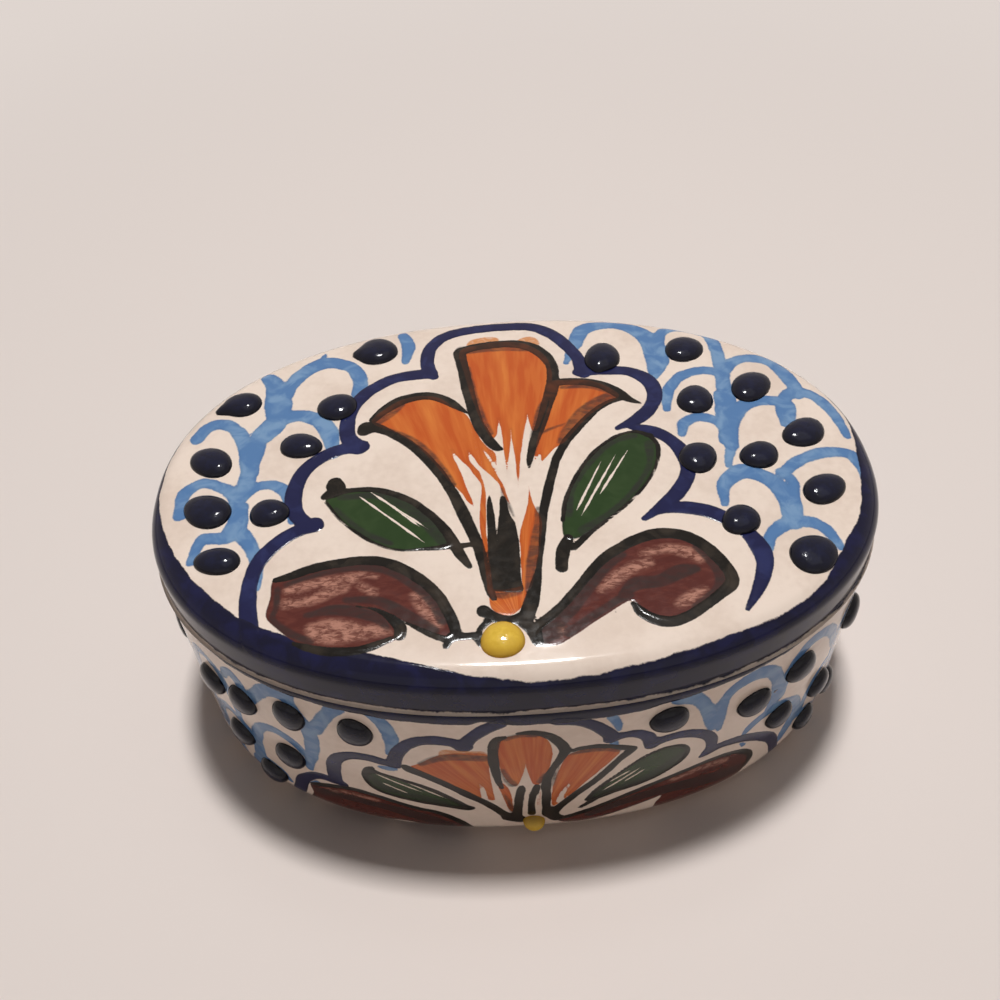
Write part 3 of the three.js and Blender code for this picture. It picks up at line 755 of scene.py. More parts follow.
        (0.9, [(6.8, -10.4, 1.2), (7.8, -5.8, 1.0), (10.6, -1.2, 0.9), (14.2, 2.8, 0.9), (17.6, 4.2, 1.2)]),
        # left maroon leaf
        (1.2, [(-31.4, -19.8, 0.9), (-31.3, -22.6, 0.8), (-31.6, -24.4, 0.8), (-29.4, -26.6, 1.0),
               (-26.6, -28.2, 0.9)]),
        (1.3, [(-30.4, -19.2, 0.7), (-27, -18.1, 0.9), (-22, -17.3, 1.0), (-17.6, -17.9, 1.3), (-14.6, -19.8, 1.7),
               (-12.6, -21.8, 1.7), (-11.2, -24, 1.6), (-10.3, -26.4, 1.5)]),
        (1.6, [(-27.4, -24.2, 0.8), (-24, -23.7, 1.6), (-21, -24.3, 1.7), (-18.4, -25.5, 1.4), (-17.2, -27, 0.8)]),
        (1.4, [(-22.6, -22.2, 0.8), (-18.6, -22.7, 1.3), (-16.4, -24, 1.6), (-13.8, -26.0, 1.6),
               (-11.4, -27.8, 1.4)]),
        # right maroon leaf
        (1.4, [(3.4, -28.0, 2.4), (5.8, -25.7, 1.9), (8.0, -23.0, 1.7), (10.4, -20.1, 1.4), (13.2, -17.8, 1.0)]),
        (1.2, [(22.8, -17.2, 0.9), (24.2, -19.6, 1.2), (25, -22, 1.4), (24.2, -24.2, 1.2), (21, -26.6, 0.8)]),
        (1.7, [(12.4, -24.2, 1.2), (14.2, -22.6, 2.0), (17.2, -22.4, 1.9), (20, -21.1, 2.2), (22.2, -20.7, 1.2)]),
        (1.1, [(5.0, -29.3, 1.4), (8.0, -27.3, 1.1), (11.4, -25.1, 1.2), (13.2, -24.3, 1.2)]),
        (2.6, [(1.6, -29.6), (3.2, -29.2, 2.2)]),
    ],
    # where the maroon was rubbed thin and the clay's pink shows through
    "pale": [
        (1.4, [(-29.9, -20.1, 1.3), (-26.4, -19.3, 1.5), (-23.2, -19.2, 2.0), (-21.4, -18.7, 1.4)]),
        (1.4, [(-30.2, -22.2, 1.4), (-27.2, -22.0, 1.3), (-24.8, -21.0, 1.5), (-23.0, -20.3, 1.6)]),
        (0.8, [(-21.0, -18.3), (-18.8, -18.8, 0.6)]),
        (1.0, [(-20.6, -20.2, 0.8), (-19.0, -21.4, 1.1)]),
        (1.6, [(-13.8, -22.4, 1.0), (-12.7, -24, 1.8), (-11.9, -25.6, 1.5), (-10.8, -27.2, 0.9)]),
        (1.6, [(9.8, -23.2, 1.0), (11.4, -21.9, 1.7), (13.8, -20.2, 1.6), (16.2, -19.3, 1.4)]),
        (1.4, [(15.8, -17.9, 0.9), (19, -17.2, 1.3), (21.6, -18.0, 1.8), (23.0, -19.2, 1.2)]),
        (1.4, [(22.6, -24.1, 1.0), (20.8, -25.1, 1.7), (19.2, -26.2, 1.0)]),
        (0.7, [(4.2, -28.3, 0.6), (4.2, -29.4, 0.8)]),
    ],
    "orange": [
        (0.6, [(-4.6, -9.0, 0.9), (-4.7, -12.0, 0.8), (-4.55, -14.4, 0.7), (-4.45, -17, 0.7), (-4.3, -20, 0.7),
               (-4.2, -22.6, 0.8)]),
    ],
}

lidPatches = {
    "orange": [
        # left petal with its tongues, whose tips are given twice to keep them sharp
        [(-20.2, 10.4), (-18.4, 13.2), (-15.8, 15.2), (-13, 15.8), (-10.2, 15.0), (-8.0, 12.6), (-6.6, 11.2),
         (-5.8, 9.8), (-5.2, 7.8), (-4.4, 5.4), (-3.5, 3.5), (-2.6, 2.4), (-2.3, 1.4), (-2.3, 0.0), (-2.35, -1.4),
         (-2.35, -1.4), (-2.7, 0.2), (-3.3, 1.7), (-4.1, 3.0), (-4.1, 3.0), (-3.5, 1.2), (-2.9, -0.4), (-2.4, -1.9),
         (-1.9, -3.4), (-1.5, -4.7), (-1.2, -6.2), (-0.9, -7.8), (-0.9, -7.8), (-1.5, -6.6), (-1.85, -5.4),
         (-2.1, -4.1), (-2.8, -3.0), (-3.5, -2.0), (-4.3, -0.9), (-4.9, 0.1), (-5.4, 1.3), (-6.1, 2.6), (-6.1, 2.6),
         (-6.0, 0.9), (-5.4, -0.3), (-4.7, -1.6), (-4.4, -2.9), (-4.2, -4.2), (-4.05, -5.6), (-4.1, -7.6),
         (-4.2, -9.8), (-4.6, -10.4), (-4.95, -9.4), (-4.9, -7.4), (-4.7, -5.6), (-4.6, -4.1), (-5.0, -3.0),
         (-5.6, -1.8), (-6.2, -0.6), (-7.0, 0.7), (-7.8, 1.8), (-8.5, 3.2), (-8.5, 3.2), (-8.2, 1.5), (-7.8, 0.1),
         (-7.3, -1.6), (-6.9, -3.2), (-6.5, -4.9), (-6.0, -6.6), (-5.75, -8.0), (-5.75, -8.0), (-6.7, -6.8),
         (-7.4, -5.2), (-9.0, -3.0), (-10.4, -0.4), (-13.0, 3.9), (-16.2, 7.4)],
        # middle petal
        [(-6.9, 26.2), (-4, 27.9), (0, 28.4), (3.6, 27.4), (6.4, 24.2), (7.2, 19.8), (6.6, 14.8), (5.2, 9.8),
         (4.0, 6.6), (3.2, 6.4), (2.9, 8.2), (2.75, 9.8), (2.75, 9.8), (2.5, 8.4), (2.1, 6.6), (1.75, 4.8),
         (1.45, 2.8), (1.1, 0.6), (0.85, -1.4), (0.65, -3.2), (0.45, -4.9), (0.45, -4.9), (0.42, -2.6), (0.4, 0.0),
         (0.3, 2.6), (0.2, 4.6), (0.1, 6.6), (0.1, 6.6), (-0.1, 4.2), (-0.4, 1.9), (-0.7, -0.1), (-0.95, -2.3),
         (-0.95, -2.3), (-1.0, 0.2), (-1.1, 2.8), (-1.2, 5.0), (-1.3, 7.2), (-1.5, 9.2), (-1.5, 9.2), (-1.75, 7.6),
         (-2.0, 5.8), (-2.8, 5.4), (-4.1, 9.2), (-5.2, 14), (-6.2, 20)],
        # right petal
        [(6.2, 17), (9.6, 17.6), (13.4, 16.8), (16.8, 13.4), (14.6, 11.4), (11.8, 9.0), (9.4, 5.9), (7.7, 3.6),
         (6.1, 2.4), (5.2, 1.3), (4.4, 0.2), (3.4, -1.3), (3.4, -1.3), (4.1, 0.7), (3.8, 1.4), (3.1, 0.1),
         (3.1, 0.1), (3.2, 1.6), (3.6, 3.6), (4.2, 6.0), (5.2, 9.2), (6.2, 12.6)],
        # beside the stamens, and the foot
        [(1.9, -5.0), (1.9, -5.0), (1.65, -7.2), (1.25, -9.2), (0.7, -11.2), (0.15, -13.2), (0.0, -16),
         (-0.1, -19.4), (-0.1, -22.4), (0.9, -22.4), (1.7, -19.8), (2.4, -17), (2.9, -14), (3.2, -11.2),
         (2.6, -9.2), (2.2, -7.4)],
        [(-4.2, -22.4), (-2.6, -22.3), (-1.0, -22.1), (0.2, -21.9), (0.4, -23.2), (-0.2, -24.8), (-1.2, -25.9),
         (-2.2, -26.3), (-3.4, -25.9), (-4.3, -24.8)],
    ],
    "smear": [
        [(-5.6, 27.6), (-5.2, 29.0), (-3.6, 29.7), (-1.6, 29.8), (-0.6, 29.2), (-0.8, 28.0), (-3, 27.6)],
        [(2.4, 28.0), (3.2, 29.1), (4.6, 29.3), (5.6, 28.4), (5.8, 26.8), (4.4, 26.8)],
    ],
    # stamens
    "outline": [
        [(-3.6, -6.0), (-3.6, -6.0), (-3.35, -6.9), (-3.1, -9), (-3.0, -11.5), (-2.92, -14), (-2.92, -14),
         (-2.75, -12), (-2.4, -9.5), (-2.2, -7.2), (-2.0, -6.4), (-1.5, -6.5), (-1.25, -7.6), (-1.1, -9.2),
         (-0.8, -10.3), (-0.4, -11.2), (-0.2, -13), (-0.05, -15.5), (-0.1, -18), (-0.15, -20.5), (-0.05, -22.6),
         (-1.4, -22.8), (-2.8, -22.6), (-3.9, -22.2), (-4.1, -20), (-4.25, -17), (-4.2, -14), (-4.1, -11),
         (-4.1, -8.6), (-3.9, -6.9)],
    ],
    "green": [
        [(-26.1, -4.9), (-23.6, -3.7), (-20, -3.4), (-16.6, -4.4), (-13.2, -6.8), (-10.6, -10), (-8.6, -13.6),
         (-9.4, -15), (-12.4, -14.9), (-15.6, -15.0), (-19, -13.4), (-22, -10.9), (-24.6, -7.8)],
        [(5.9, -11.6), (6.6, -7.6), (8.8, -2.8), (11.6, 1.4), (14.8, 4.2), (18.0, 5.2), (20.4, 3.8), (20.7, 0.8),
         (19.6, -2.8), (17.2, -6.6), (13.8, -10.1), (10.4, -12.9), (7.8, -14.6), (6.0, -14.6)],
    ],
    "maroon": [
        [(-32.0, -18.2), (-28.4, -17.0), (-22, -15.9), (-16.6, -17.1), (-12.4, -20.3), (-9.8, -24.6), (-8.9, -28.2),
         (-10.0, -29.1), (-12.0, -28.2), (-13.6, -27.2), (-15.2, -26.1), (-16.8, -25.0), (-18.2, -24.2),
         (-19.7, -23.5), (-19.7, -23.5), (-18.0, -24.5), (-16.4, -25.8), (-15.2, -27.2), (-15.8, -28.6),
         (-19.4, -30.0), (-24, -29.8), (-28, -28.4), (-30.6, -26.2), (-32.5, -24.0), (-32.2, -21.2)],
        [(1.2, -28.8), (4.2, -26.2), (7.4, -22.4), (11.0, -18.2), (14.8, -15.6), (19.4, -14.8), (23.4, -16.6),
         (26.0, -20.8), (25.9, -23.8), (21.6, -27.0), (17.6, -28.5), (14.6, -27.2), (13.4, -25.2), (11.6, -26.0),
         (8.4, -28.0), (5.4, -30.0), (3.6, -31.0), (1.4, -30.8)],
    ],
    "pale": [
        [(-27.4, -26.2), (-26, -25.3), (-23.6, -25.1), (-21.4, -25.7), (-20, -26.3), (-18.2, -26.5), (-16.6, -27.8),
         (-18.6, -28.1), (-21, -28.5), (-23.8, -28.7), (-26.2, -28.1)],
    ],
}

lidScratches = [
    [((-21.5, -4.6), (-12.4, -13.9)), ((12.4, -0.7), (8.0, -9.8))],
    [((-20.0, -3.9), (-11.9, -11.6)), ((14.6, 0.5), (8.5, -10.9))],
    [((-18.4, -5.4), (-12.9, -11.2)), ((16.4, 1.2), (11.4, -7.2))],
]


def lidTop(x, y):
    # height of the lid's top over its lip
    share = ovalRatio(x, y, lid["shoulder"])
    past = np.clip((share - 1) / np.maximum(share - ovalRatio(x, y, 0), 1e-9), 0, 1)
    level = lid["side"] + lid["shoulder"]
    return np.where(share <= 1, level + lid["crown"] * (1 - share ** 2),
                    lid["side"] + lid["shoulder"] * np.sqrt(1 - past ** 2))


def lidProfile():
    shoulderTop = lid["side"] + lid["shoulder"]
    ceiling = shoulderTop - lid["thickness"]
    lip, flange, tip = lid["lipRound"], lid["flangeOuter"], lid["flangeRound"]
    inner = flange - lid["flangeThickness"]
    low = -lid["flangeDepth"]
    cave = lid["ceilingRound"]
    middle = -spinning["radius"]
    return chained(
        linePoints((middle, shoulderTop), (-lid["shoulder"], shoulderTop), lid["topSpacing"]),
        arcPoints(-lid["shoulder"], lid["side"], lid["shoulder"], 90, 0, 12),
        linePoints((0, lid["side"]), (0, lid["fineSide"]), lid["sideSpacing"]),
        linePoints((0, lid["fineSide"]), (0, lip), lid["lipSpacing"]),
        arcPoints(-lip, lip, lip, 0, -90, 4),
        linePoints((-lip, 0), (flange, 0), lid["seatSpacing"]),
        linePoints((flange, 0), (flange, low + tip), lid["flangeSpacing"]),
        arcPoints(flange - tip, low + tip, tip, 0, -90, 4),
        arcPoints(inner + tip, low + tip, tip, -90, -180, 4),
        linePoints((inner, low + tip), (inner, ceiling - cave), lid["mouthSpacing"]),
        arcPoints(inner - cave, ceiling - cave, cave, 0, 90, 4),
        linePoints((inner - cave, ceiling), (middle, ceiling), lid["underSpacing"]),
    )


def makeLid():
    profile = lidProfile()
    mesh, place, run, spot = spinOval("lidBody", profile, lid["spokes"])
    corners = np.array(profile)
    offset, height = corners[spot, 0], corners[spot, 1]
    shoulderTop = lid["side"] + lid["shoulder"]
    ceiling = shoulderTop - lid["thickness"]
    sideStart = int(np.nonzero(corners[:, 1] < lid["side"] + 0.01)[0][0])
    onTop = spot < sideStart
    inCeiling = (height == ceiling) & (spot > sideStart)
    x, y = place[:, 0], place[:, 1]
    place[:, 2] = np.where(onTop, lidTop(x, y), height)
    caveShare = np.clip(ovalRatio(x, y, -corners[spot[inCeiling].min(), 0]), 0, 1)
    place[:, 2] = np.where(inCeiling, ceiling + lid["crown"] * (1 - caveShare ** 2), place[:, 2])
    bead = lid["bead"] * np.exp(-((height - lid["beadHeight"]) / lid["beadDepth"]) ** 2)
    bead = np.where(~onTop & (offset > -lid["lipRound"]), bead, 0)
    place[:, :2] += ovalAt(run)[1] * bead[:, None]
    place[:, 2] += lid["foot"]
    writePlaces(mesh, place)

    # the band: down to its edge on the top, to the cream line on the side, and none underneath
    share = np.mod(run / girth + 0.5, 1) - 0.5
    topEdge = np.minimum(-np.interp(share, *np.array(lidBand).T) - offset, 2 * farAway)
    lipLine = lid["creamLip"] + sum(reach * np.sin(share * turns) for reach, turns in lid["lipWaves"])
    band = np.where(onTop, topEdge, lipLine - height)
    band = np.where(~onTop & (offset < -0.9 * lid["lipRound"]), farAway, band)

    plan = place[:, :2]
    paint = readPaint(plan, lidStrokes, lidPatches)
    paint = {name: np.where(onTop, values, farAway) for name, values in paint.items()}
    paint["band"] = band
    finishPaint(mesh, place, plan, paint, lidScratches)
    # the lip's flat underside is wiped clean of glaze
    lipFlat = (np.abs(height) < 0.01) & (offset < -0.8 * lid["lipRound"])
    keepField(mesh, "bare", np.where(lipFlat, -1.0, 1.0))
    return mesh


def readPaint(spots, strokes, patches):
    # for each paint the distance to its nearest edge, from its strokes and its patches
    paint = {}
    for name in ("lightBlue", "navy", "orange", "smear", "green", "maroon", "pale", "wash", "outline"):
        paint[name] = either(strokeField(spots, strokes.get(name, [])), patchField(spots, patches.get(name, [])))
    return paint


def finishPaint(mesh, place, spots, paint, scratches):
    # keeps what the shader reads, and raises the surface where thick paint lies
    relief = np.zeros(len(place))
    for name, values in paint.items():
        keepField(mesh, name, values)
        thickness = brushwork[name]["rise"] if name in brushwork else 0
        rise = np.clip((paintEdge["out"] - values) / paintEdge["width"], 0, 1)
        relief = np.maximum(relief, thickness * rise * rise * (3 - 2 * rise))
    keepField(mesh, "spot", np.column_stack([spots, np.zeros(len(spots))]))
    for name, lines in zip(scratch["names"], scratches):
        keepField(mesh, name, scratchCoordinates(spots, lines))
    writePlaces(mesh, raisePaint(mesh, place, relief))


# bowl
bowl = {
    "height": 35, "wall": 4.4, "floor": 4.6, "taper": 0.5, "taperPower": 1.6, "bottomRadius": 5.6, "innerRadius": 5,
    "rimRound": 1.0, "footWidth": 3.2, "footRecess": 0.8, "spokes": 580, "wallSpacing": 0.42, "insideSpacing": 1.5,
    "rimSpacing": 0.8,
    # a slow wave in the band's edge: how far it goes, turns per millimetre and its start
    "bandWave": (0.08, 0.83, 1),
}
straightWall = bowl["height"] - bowl["bottomRadius"]
wallRun = straightWall + bowl["bottomRadius"] * math.pi / 2
footOuter = -(bowl["taper"] + bowl["bottomRadius"])


def wallSection(down):
    # offset and height of the outer wall at a run down from the rim
    down = np.asarray(down, float)
    turn = np.clip((down - straightWall) / bowl["bottomRadius"], 0, np.pi / 2)
    offset = -bowl["taper"] * np.clip(down / straightWall, 0, 1) ** bowl["taperPower"]
    offset = offset - bowl["bottomRadius"] * (1 - np.cos(turn))
    height = np.where(down < straightWall, bowl["height"] - down, bowl["bottomRadius"] * (1 - np.sin(turn)))
    return offset, height


def bowlProfile():
    floor = bowl["footRecess"] + bowl["floor"]
    innerLow = -(bowl["taper"] + bowl["wall"])
    rim, bend, high = bowl["rimRound"], bowl["innerRadius"], bowl["height"]
    footInner = footOuter - bowl["footWidth"]
    recess = bowl["footRecess"]
    middle = -spinning["radius"]
    downs = np.linspace(rim, wallRun, round((wallRun - rim) / bowl["wallSpacing"]) + 1)
    return chained(
        linePoints((middle, floor), (innerLow - bend, floor), bowl["insideSpacing"]),
        arcPoints(innerLow - bend, floor + bend, bend, -90, 0, 6),
        linePoints((innerLow, floor + bend), (-bowl["wall"], high - rim), bowl["insideSpacing"]),
        arcPoints(rim - bowl["wall"], high - rim, rim, 180, 90, 4),
        linePoints((rim - bowl["wall"], high), (-rim, high), bowl["rimSpacing"]),
        arcPoints(-rim, high - rim, rim, 90, 0, 4),
        [(float(o), float(h)) for o, h in zip(*wallSection(downs))],
        linePoints((footOuter, 0), (footInner, 0), bowl["rimSpacing"]),
        linePoints((footInner, 0), (footInner - recess, recess), bowl["rimSpacing"] / 2),
        linePoints((footInner - recess, recess), (middle, recess), bowl["insideSpacing"]),
    )


def archOver(along, down, half=5.2, rise=5.6, left=6.0, right=6.0, width=1.9):
    # a light blue arch over a drop: how wide, how high, and how far its legs run down
    crown, shoulder = -down + rise, -down + rise * 0.7
    return (width, [(along - half, -down - left, width * 0.7), (along - half * 0.98, -down),
                    (along - half * 0.72, shoulder), (along, crown), (along + half * 0.72, shoulder),
                    (along + half * 0.98, -down), (along + half, -down - right, width * 0.7)])


# how deep the navy band under the rim reaches: run from the front middle, depth
bowlBand = [
    (-69.9, 1.5), (-56, 1.4), (-45, 1.3), (-38, 1.4), (-30, 1.7), (-24, 1.85), (-18, 2.1), (-12, 2.4), (-8, 2.35),
    (-6.5, 1.7), (-5, 2.0), (-3, 2.4), (0, 2.8), (4, 2.7), (8, 2.8), (12, 2.7), (15, 2.6), (18, 2.1), (22, 1.85),
    (26, 1.6), (30, 1.35), (34, 1.1), (38, 0.85), (44, 0.8), (56, 1.1), (69.9, 1.5),
]

# on the wall a place is the run from the front middle and the height over the rim, in
# millimetres; the back half of the bowl repeats the front
bowlStrokes = {
    "navy": [
        (2.0, [(-4.2, -2.2, 2.2), (-6.0, -3.4, 2.2), (-7.6, -5.2), (-8.6, -6.8, 2.2), (-9.0, -7.8, 2.4)]),
        (2.1, [(-8.8, -7.6, 2.4), (-10.0, -6.8), (-11.4, -6.4, 2.2), (-13, -6.3, 2.2), (-14.8, -6.8), (-16.4, -8.1),
               (-17.5, -9.8), (-18.3, -11.8), (-18.7, -13.4, 2.2)]),
        (1.9, [(-18.3, -14.0, 1.4), (-20.3, -13.3), (-22.2, -12.9), (-24.4, -13.2), (-26.3, -14.4, 2.0),
               (-27.5, -16.3, 2.2), (-28, -18.5, 2.3), (-28.2, -20.7, 2.3), (-28.2, -22.0, 2.2)]),
        (2.0, [(-27.2, -22.6, 1.6), (-28.8, -22.4), (-30.4, -22.3), (-32.2, -23.2, 1.8), (-33.8, -25.1, 2.0),
               (-34.9, -27.3, 2.2), (-35.6, -29.6, 2.2), (-36.6, -32, 2.2), (-37.8, -34.8, 2.0)]),
        (2.0, [(3.0, -2.4, 1.6), (5.8, -2.9, 1.9), (7.7, -4.1), (9.3, -6.0, 2.1), (10.4, -7.8, 2.2)]),
        (1.8, [(10.2, -8.2, 2.2), (11.8, -7.8, 1.7), (13.6, -8.0), (15.1, -9.2, 2.0), (15.7, -10.8, 2.2),
               (16.0, -11.7, 2.4)]),
        (1.9, [(15.6, -12.2, 1.2), (16.6, -11.4, 2.0), (18, -11), (20, -11.1), (22.2, -12), (24.1, -13.6),
               (25, -15.4), (25.2, -17.2), (24.8, -18.6, 2.0)]),
        (1.9, [(23.9, -19.2, 0.9), (25.2, -18.6, 1.8), (26.9, -18.2, 1.7), (28.8, -18.5), (31, -19.4), (33.3, -21),
               (35.2, -22.7, 2.0), (36.8, -24.6, 2.0), (37.9, -26.9, 2.0), (38.5, -28.9, 2.0), (39.3, -32, 1.8),
               (40.2, -35, 1.4)]),
        blot(34.6, -10.2, 0.8),
    ],
    "lightBlue": [
        (2.2, [(-25.0, -1.6, 2.8), (-26.2, -3.2, 2.2), (-27.2, -5.0), (-28.2, -7.0), (-29.3, -8.9, 2.4)]),
        (2.2, [(-20.6, -1.4, 1.6), (-19.6, -2.4, 2.0), (-18.7, -4.4), (-18.3, -6.7), (-18.4, -8.9, 2.0),
               (-18.9, -10.9, 1.2)]),
        (1.2, [(-20.6, -14.9, 0.8), (-19.6, -15.0, 1.4), (-18.6, -14.9, 1.0)]),
        (2.2, [(-32.8, -1.6, 4.0), (-35.4, -2.9, 2.6), (-37.3, -5.0, 2.2), (-38.7, -7.0), (-39.6, -9.0, 2.0),
               (-40.2, -11.4, 1.8)]),
        (2.0, [(-32.6, -2.4, 3.0), (-31.6, -4.4, 2.0), (-30.9, -6.6, 1.8), (-30.3, -8.8, 2.4), (-30.2, -11.2, 2.5),
               (-30.5, -14, 2.3), (-31, -16.6, 2.0), (-31.8, -19, 1.7), (-32.2, -21, 1.4)]),
        (2.0, [(-43.6, -5.8, 1.2), (-42.8, -4.2, 1.7), (-41.6, -3.5, 1.9), (-40.6, -5.0, 2.2), (-40.1, -7.4, 2.0),
               (-40.0, -10, 1.6)]),
        (2.0, [(-32.0, -17.6, 1.4), (-33.2, -15.4, 1.8), (-34.9, -14.1, 1.9), (-36.8, -13.7, 1.9),
               (-38.8, -14.6, 2.0), (-40.2, -16.6, 2.2), (-41.1, -19.2, 2.2), (-41.7, -21.8, 2.3),
               (-42.2, -24.6, 2.4), (-42.8, -27, 2.4)]),
        (1.8, [(-44.8, -31.5, 1.6), (-44.0, -28.6, 1.8), (-42.4, -26.7, 2.0), (-40.4, -26.1, 1.9),
               (-38.4, -27, 1.6), (-37.4, -28.8, 1.2)]),
        (0.9, [(-33.0, -26.1), (-31.6, -25.0)]),
        archOver(-47.8, 10.6, 3.8, 6.0, 5.0, 7.0, 1.9),
        archOver(-58.8, 10.0, 5.0, 6.4, 8.0, 8.0, 2.1),
        archOver(-46.2, 22.4, 3.8, 5.6, 4.0, 5.0, 1.9),
        archOver(-55.4, 21.5, 4.8, 6.0, 7.0, 7.0, 2.1),
        archOver(-65.9, 21.6, 5.0, 6.0, 7.0, 7.0, 2.1),
        archOver(-51.6, 31.0, 4.4, 4.6, 3.0, 3.0, 1.9),
        archOver(-61.6, 31.0, 4.8, 5.0, 3.0, 3.0, 1.9),
        (1.3, [(10.2, -3.0, 1.6), (10.9, -4.6, 1.3), (11.2, -6.2, 0.8)]),
        (1.3, [(10.7, -9.4, 1.4), (11.1, -10.8, 1.0), (11.4, -11.6, 0.5)]),
        (2.2, [(19.0, -1.6, 3.0), (20.8, -2.6, 2.6), (22.0, -4.0, 2.2), (23.0, -6.0, 2.1), (23.9, -8.2, 2.2),
               (24.4, -10.4, 2.2), (24.8, -12, 1.6)]),
        (2.0, [(25.8, -13.2, 1.0), (25.6, -10.6, 1.9), (25.4, -7.8, 1.9), (25.8, -5.4, 1.9), (27, -3.7, 2.2),
               (28.8, -2.9, 2.6), (30.8, -2.9, 2.6), (32.6, -3.9, 2.4), (33.8, -5.6, 2.2), (34.6, -7.8, 2.2),
               (34.9, -10.4, 2.2), (34.9, -13, 2.2), (34.4, -15.2, 2.0)]),
        (2.2, [(36.0, -12.6, 2.0), (36.2, -9.6, 1.8), (36.5, -7.0, 1.8), (37.4, -4.8, 2.2), (39.2, -3.2, 2.6),
               (41.2, -3.0, 2.4), (43.4, -4.0, 2.2), (45.2, -5.8, 2.2), (46.6, -8.2, 2.2), (47.8, -11, 2.0)]),
        (2.1, [(30.6, -18.2, 1.0), (31.6, -16.8, 1.8), (33.2, -15.7, 2.0), (35.4, -15.3, 2.1), (37.6, -15.8, 2.0),
               (39.4, -17, 1.9), (40.9, -18.9, 1.9), (41.6, -21.4, 2.4), (41.2, -24, 3.0), (40.4, -26.4, 2.8),
               (39.6, -28, 2.0)]),
        (1.9, [(42.0, -24.6, 1.6), (44, -25.2, 1.8), (46.2, -26.6, 2.0), (48, -28.6, 2.0), (49.4, -31, 2.0)]),
        (0.9, [(30.6, -20.6, 0.6), (31.2, -21.6, 0.9)]),
        archOver(53.6, 10.4, 5.0, 6.4, 7.0, 8.0, 2.1),
        archOver(65.4, 10.0, 5.2, 6.2, 8.0, 8.0, 2.1),
        archOver(47.6, 20.8, 4.0, 5.4, 3.0, 5.0, 1.9),
        archOver(58.0, 21.6, 5.0, 6.0, 7.0, 7.0, 2.1),
        archOver(54.4, 30.8, 4.4, 4.6, 3.0, 3.0, 1.9),
        archOver(65.4, 31.2, 5.0, 5.0, 3.0, 3.0, 1.9),
    ],
    "outline": [
        (1.4, [(-17.2, -13.8, 1.0), (-16.6, -14.5, 1.8), (-15.1, -15.5, 1.6), (-12.9, -17.2), (-11, -18.9),
               (-9.2, -20.7, 1.5), (-7.7, -22.2), (-6.6, -23.4), (-5.4, -25), (-4.3, -26.7, 1.5),
               (-3.2, -28, 1.9)]),
        (1.4, [(-3.6, -5.5, 0.8), (-4.6, -6.1, 1.3), (-5.1, -8, 1.5), (-5.2, -11, 1.5), (-5.0, -14, 1.3),
               (-4.7, -17, 1.0), (-4.3, -19, 0.6)]),
        (1.3, [(-1.8, -4.7, 0.8), (-0.4, -4.6, 1.1), (1.0, -5.0, 1.3), (2.4, -6.0, 1.5), (3.6, -7.8, 1.6),
               (4.2, -9.6, 1.5), (3.8, -11.4, 1.3), (3.1, -13.2, 1.2), (2.4, -15, 1.2), (1.9, -17, 1.3),
               (1.8, -19.2), (1.8, -22), (1.8, -25), (2.1, -27.4, 2.0)]),
        (1.3, [(-1.6, -18.9, 1.0), (-1.7, -20), (-2.0, -22.2), (-2.2, -25), (-2.4, -27.6, 1.6)]),
        (1.2, [(0.5, -18.8, 0.9), (0.3, -20, 1.2), (-0.1, -21.6, 1.1), (-0.3, -24, 1.0), (-0.3, -27, 1.2)]),
        (1.0, [(4.8, -10.4, 0.5), (6, -9.7, 1.0), (8.2, -9.6, 1.1), (10.2, -10.1, 1.0), (12, -11, 1.2),
               (13.4, -11.8, 1.3)]),
        (1.3, [(13.3, -12.0, 1.3), (12.4, -13, 1.5), (11.4, -14.4), (10.1, -16.5), (8.6, -18.8), (6.8, -21),
               (5.3, -23), (3.8, -25.2, 1.4), (2.7, -27, 2.0)]),
        (1.6, [(-3.6, -27.8, 2.2), (-2.0, -28.6, 2.0)]),
        (1.6, [(2.2, -27.2, 2.0), (3.0, -28.6, 2.0)]),
        (0.9, [(-22.0, -15.6, 0.8), (-22.6, -16.6, 1.4), (-23.3, -18.2, 1.0), (-23.0, -20.4, 0.8),
               (-21.8, -22, 0.8), (-19.4, -23, 0.7), (-15.6, -23.8, 0.8), (-12, -24.5, 0.9), (-9.6, -25, 1.2),
               (-8.8, -24.8, 1.2)]),
        (0.9, [(-22.2, -16.6, 1.0), (-20.2, -17.0, 0.6), (-17, -18.2, 0.7), (-14.4, -19.5, 0.8),
               (-12.4, -21.2, 0.9), (-10.8, -22.8, 0.9), (-9.6, -24.2, 1.1)]),
        (0.9, [(6.6, -26.4, 0.7), (7.6, -25.5, 1.0), (8.8, -24.3, 0.9)]),
        (0.7, [(7.7, -24.3, 1.2), (8.5, -22.1), (9.9, -20.2), (11.7, -18.0, 0.6), (13.8, -15.8, 0.6),
               (15.9, -14.2, 0.6), (18.2, -13.6, 0.6), (20.4, -14.3, 0.8), (21.4, -15.8, 0.9), (21.2, -17.6, 0.9),
               (19.8, -19.4, 0.8), (17.4, -21.1, 0.7), (14.4, -22.2, 0.8), (11.4, -23.1, 0.8), (9.2, -24, 1.0)]),
        (0.9, [(-33, -26.2, 0.8), (-30.8, -25.1, 1.0), (-28.2, -24.0, 1.0), (-25.4, -23.5, 1.0), (-22.4, -23.9),
               (-19.4, -24.9), (-16.6, -25.9), (-14.2, -26.5), (-12.4, -27.6, 1.1), (-10.8, -29.0, 1.2),
               (-9.7, -30.6, 1.2), (-9.2, -32.4, 1.0)]),
        (0.9, [(3.2, -29.4, 1.0), (6.4, -28.2), (10, -26.4), (14, -24.4), (18, -22.9), (22, -21.9), (25.6, -21.5),
               (28.6, -22, 1.0), (31, -23.2, 1.1), (32.8, -25.2, 1.2), (33.3, -27.2, 1.2), (32.6, -29, 1.0)]),
    ],
    "wash": [
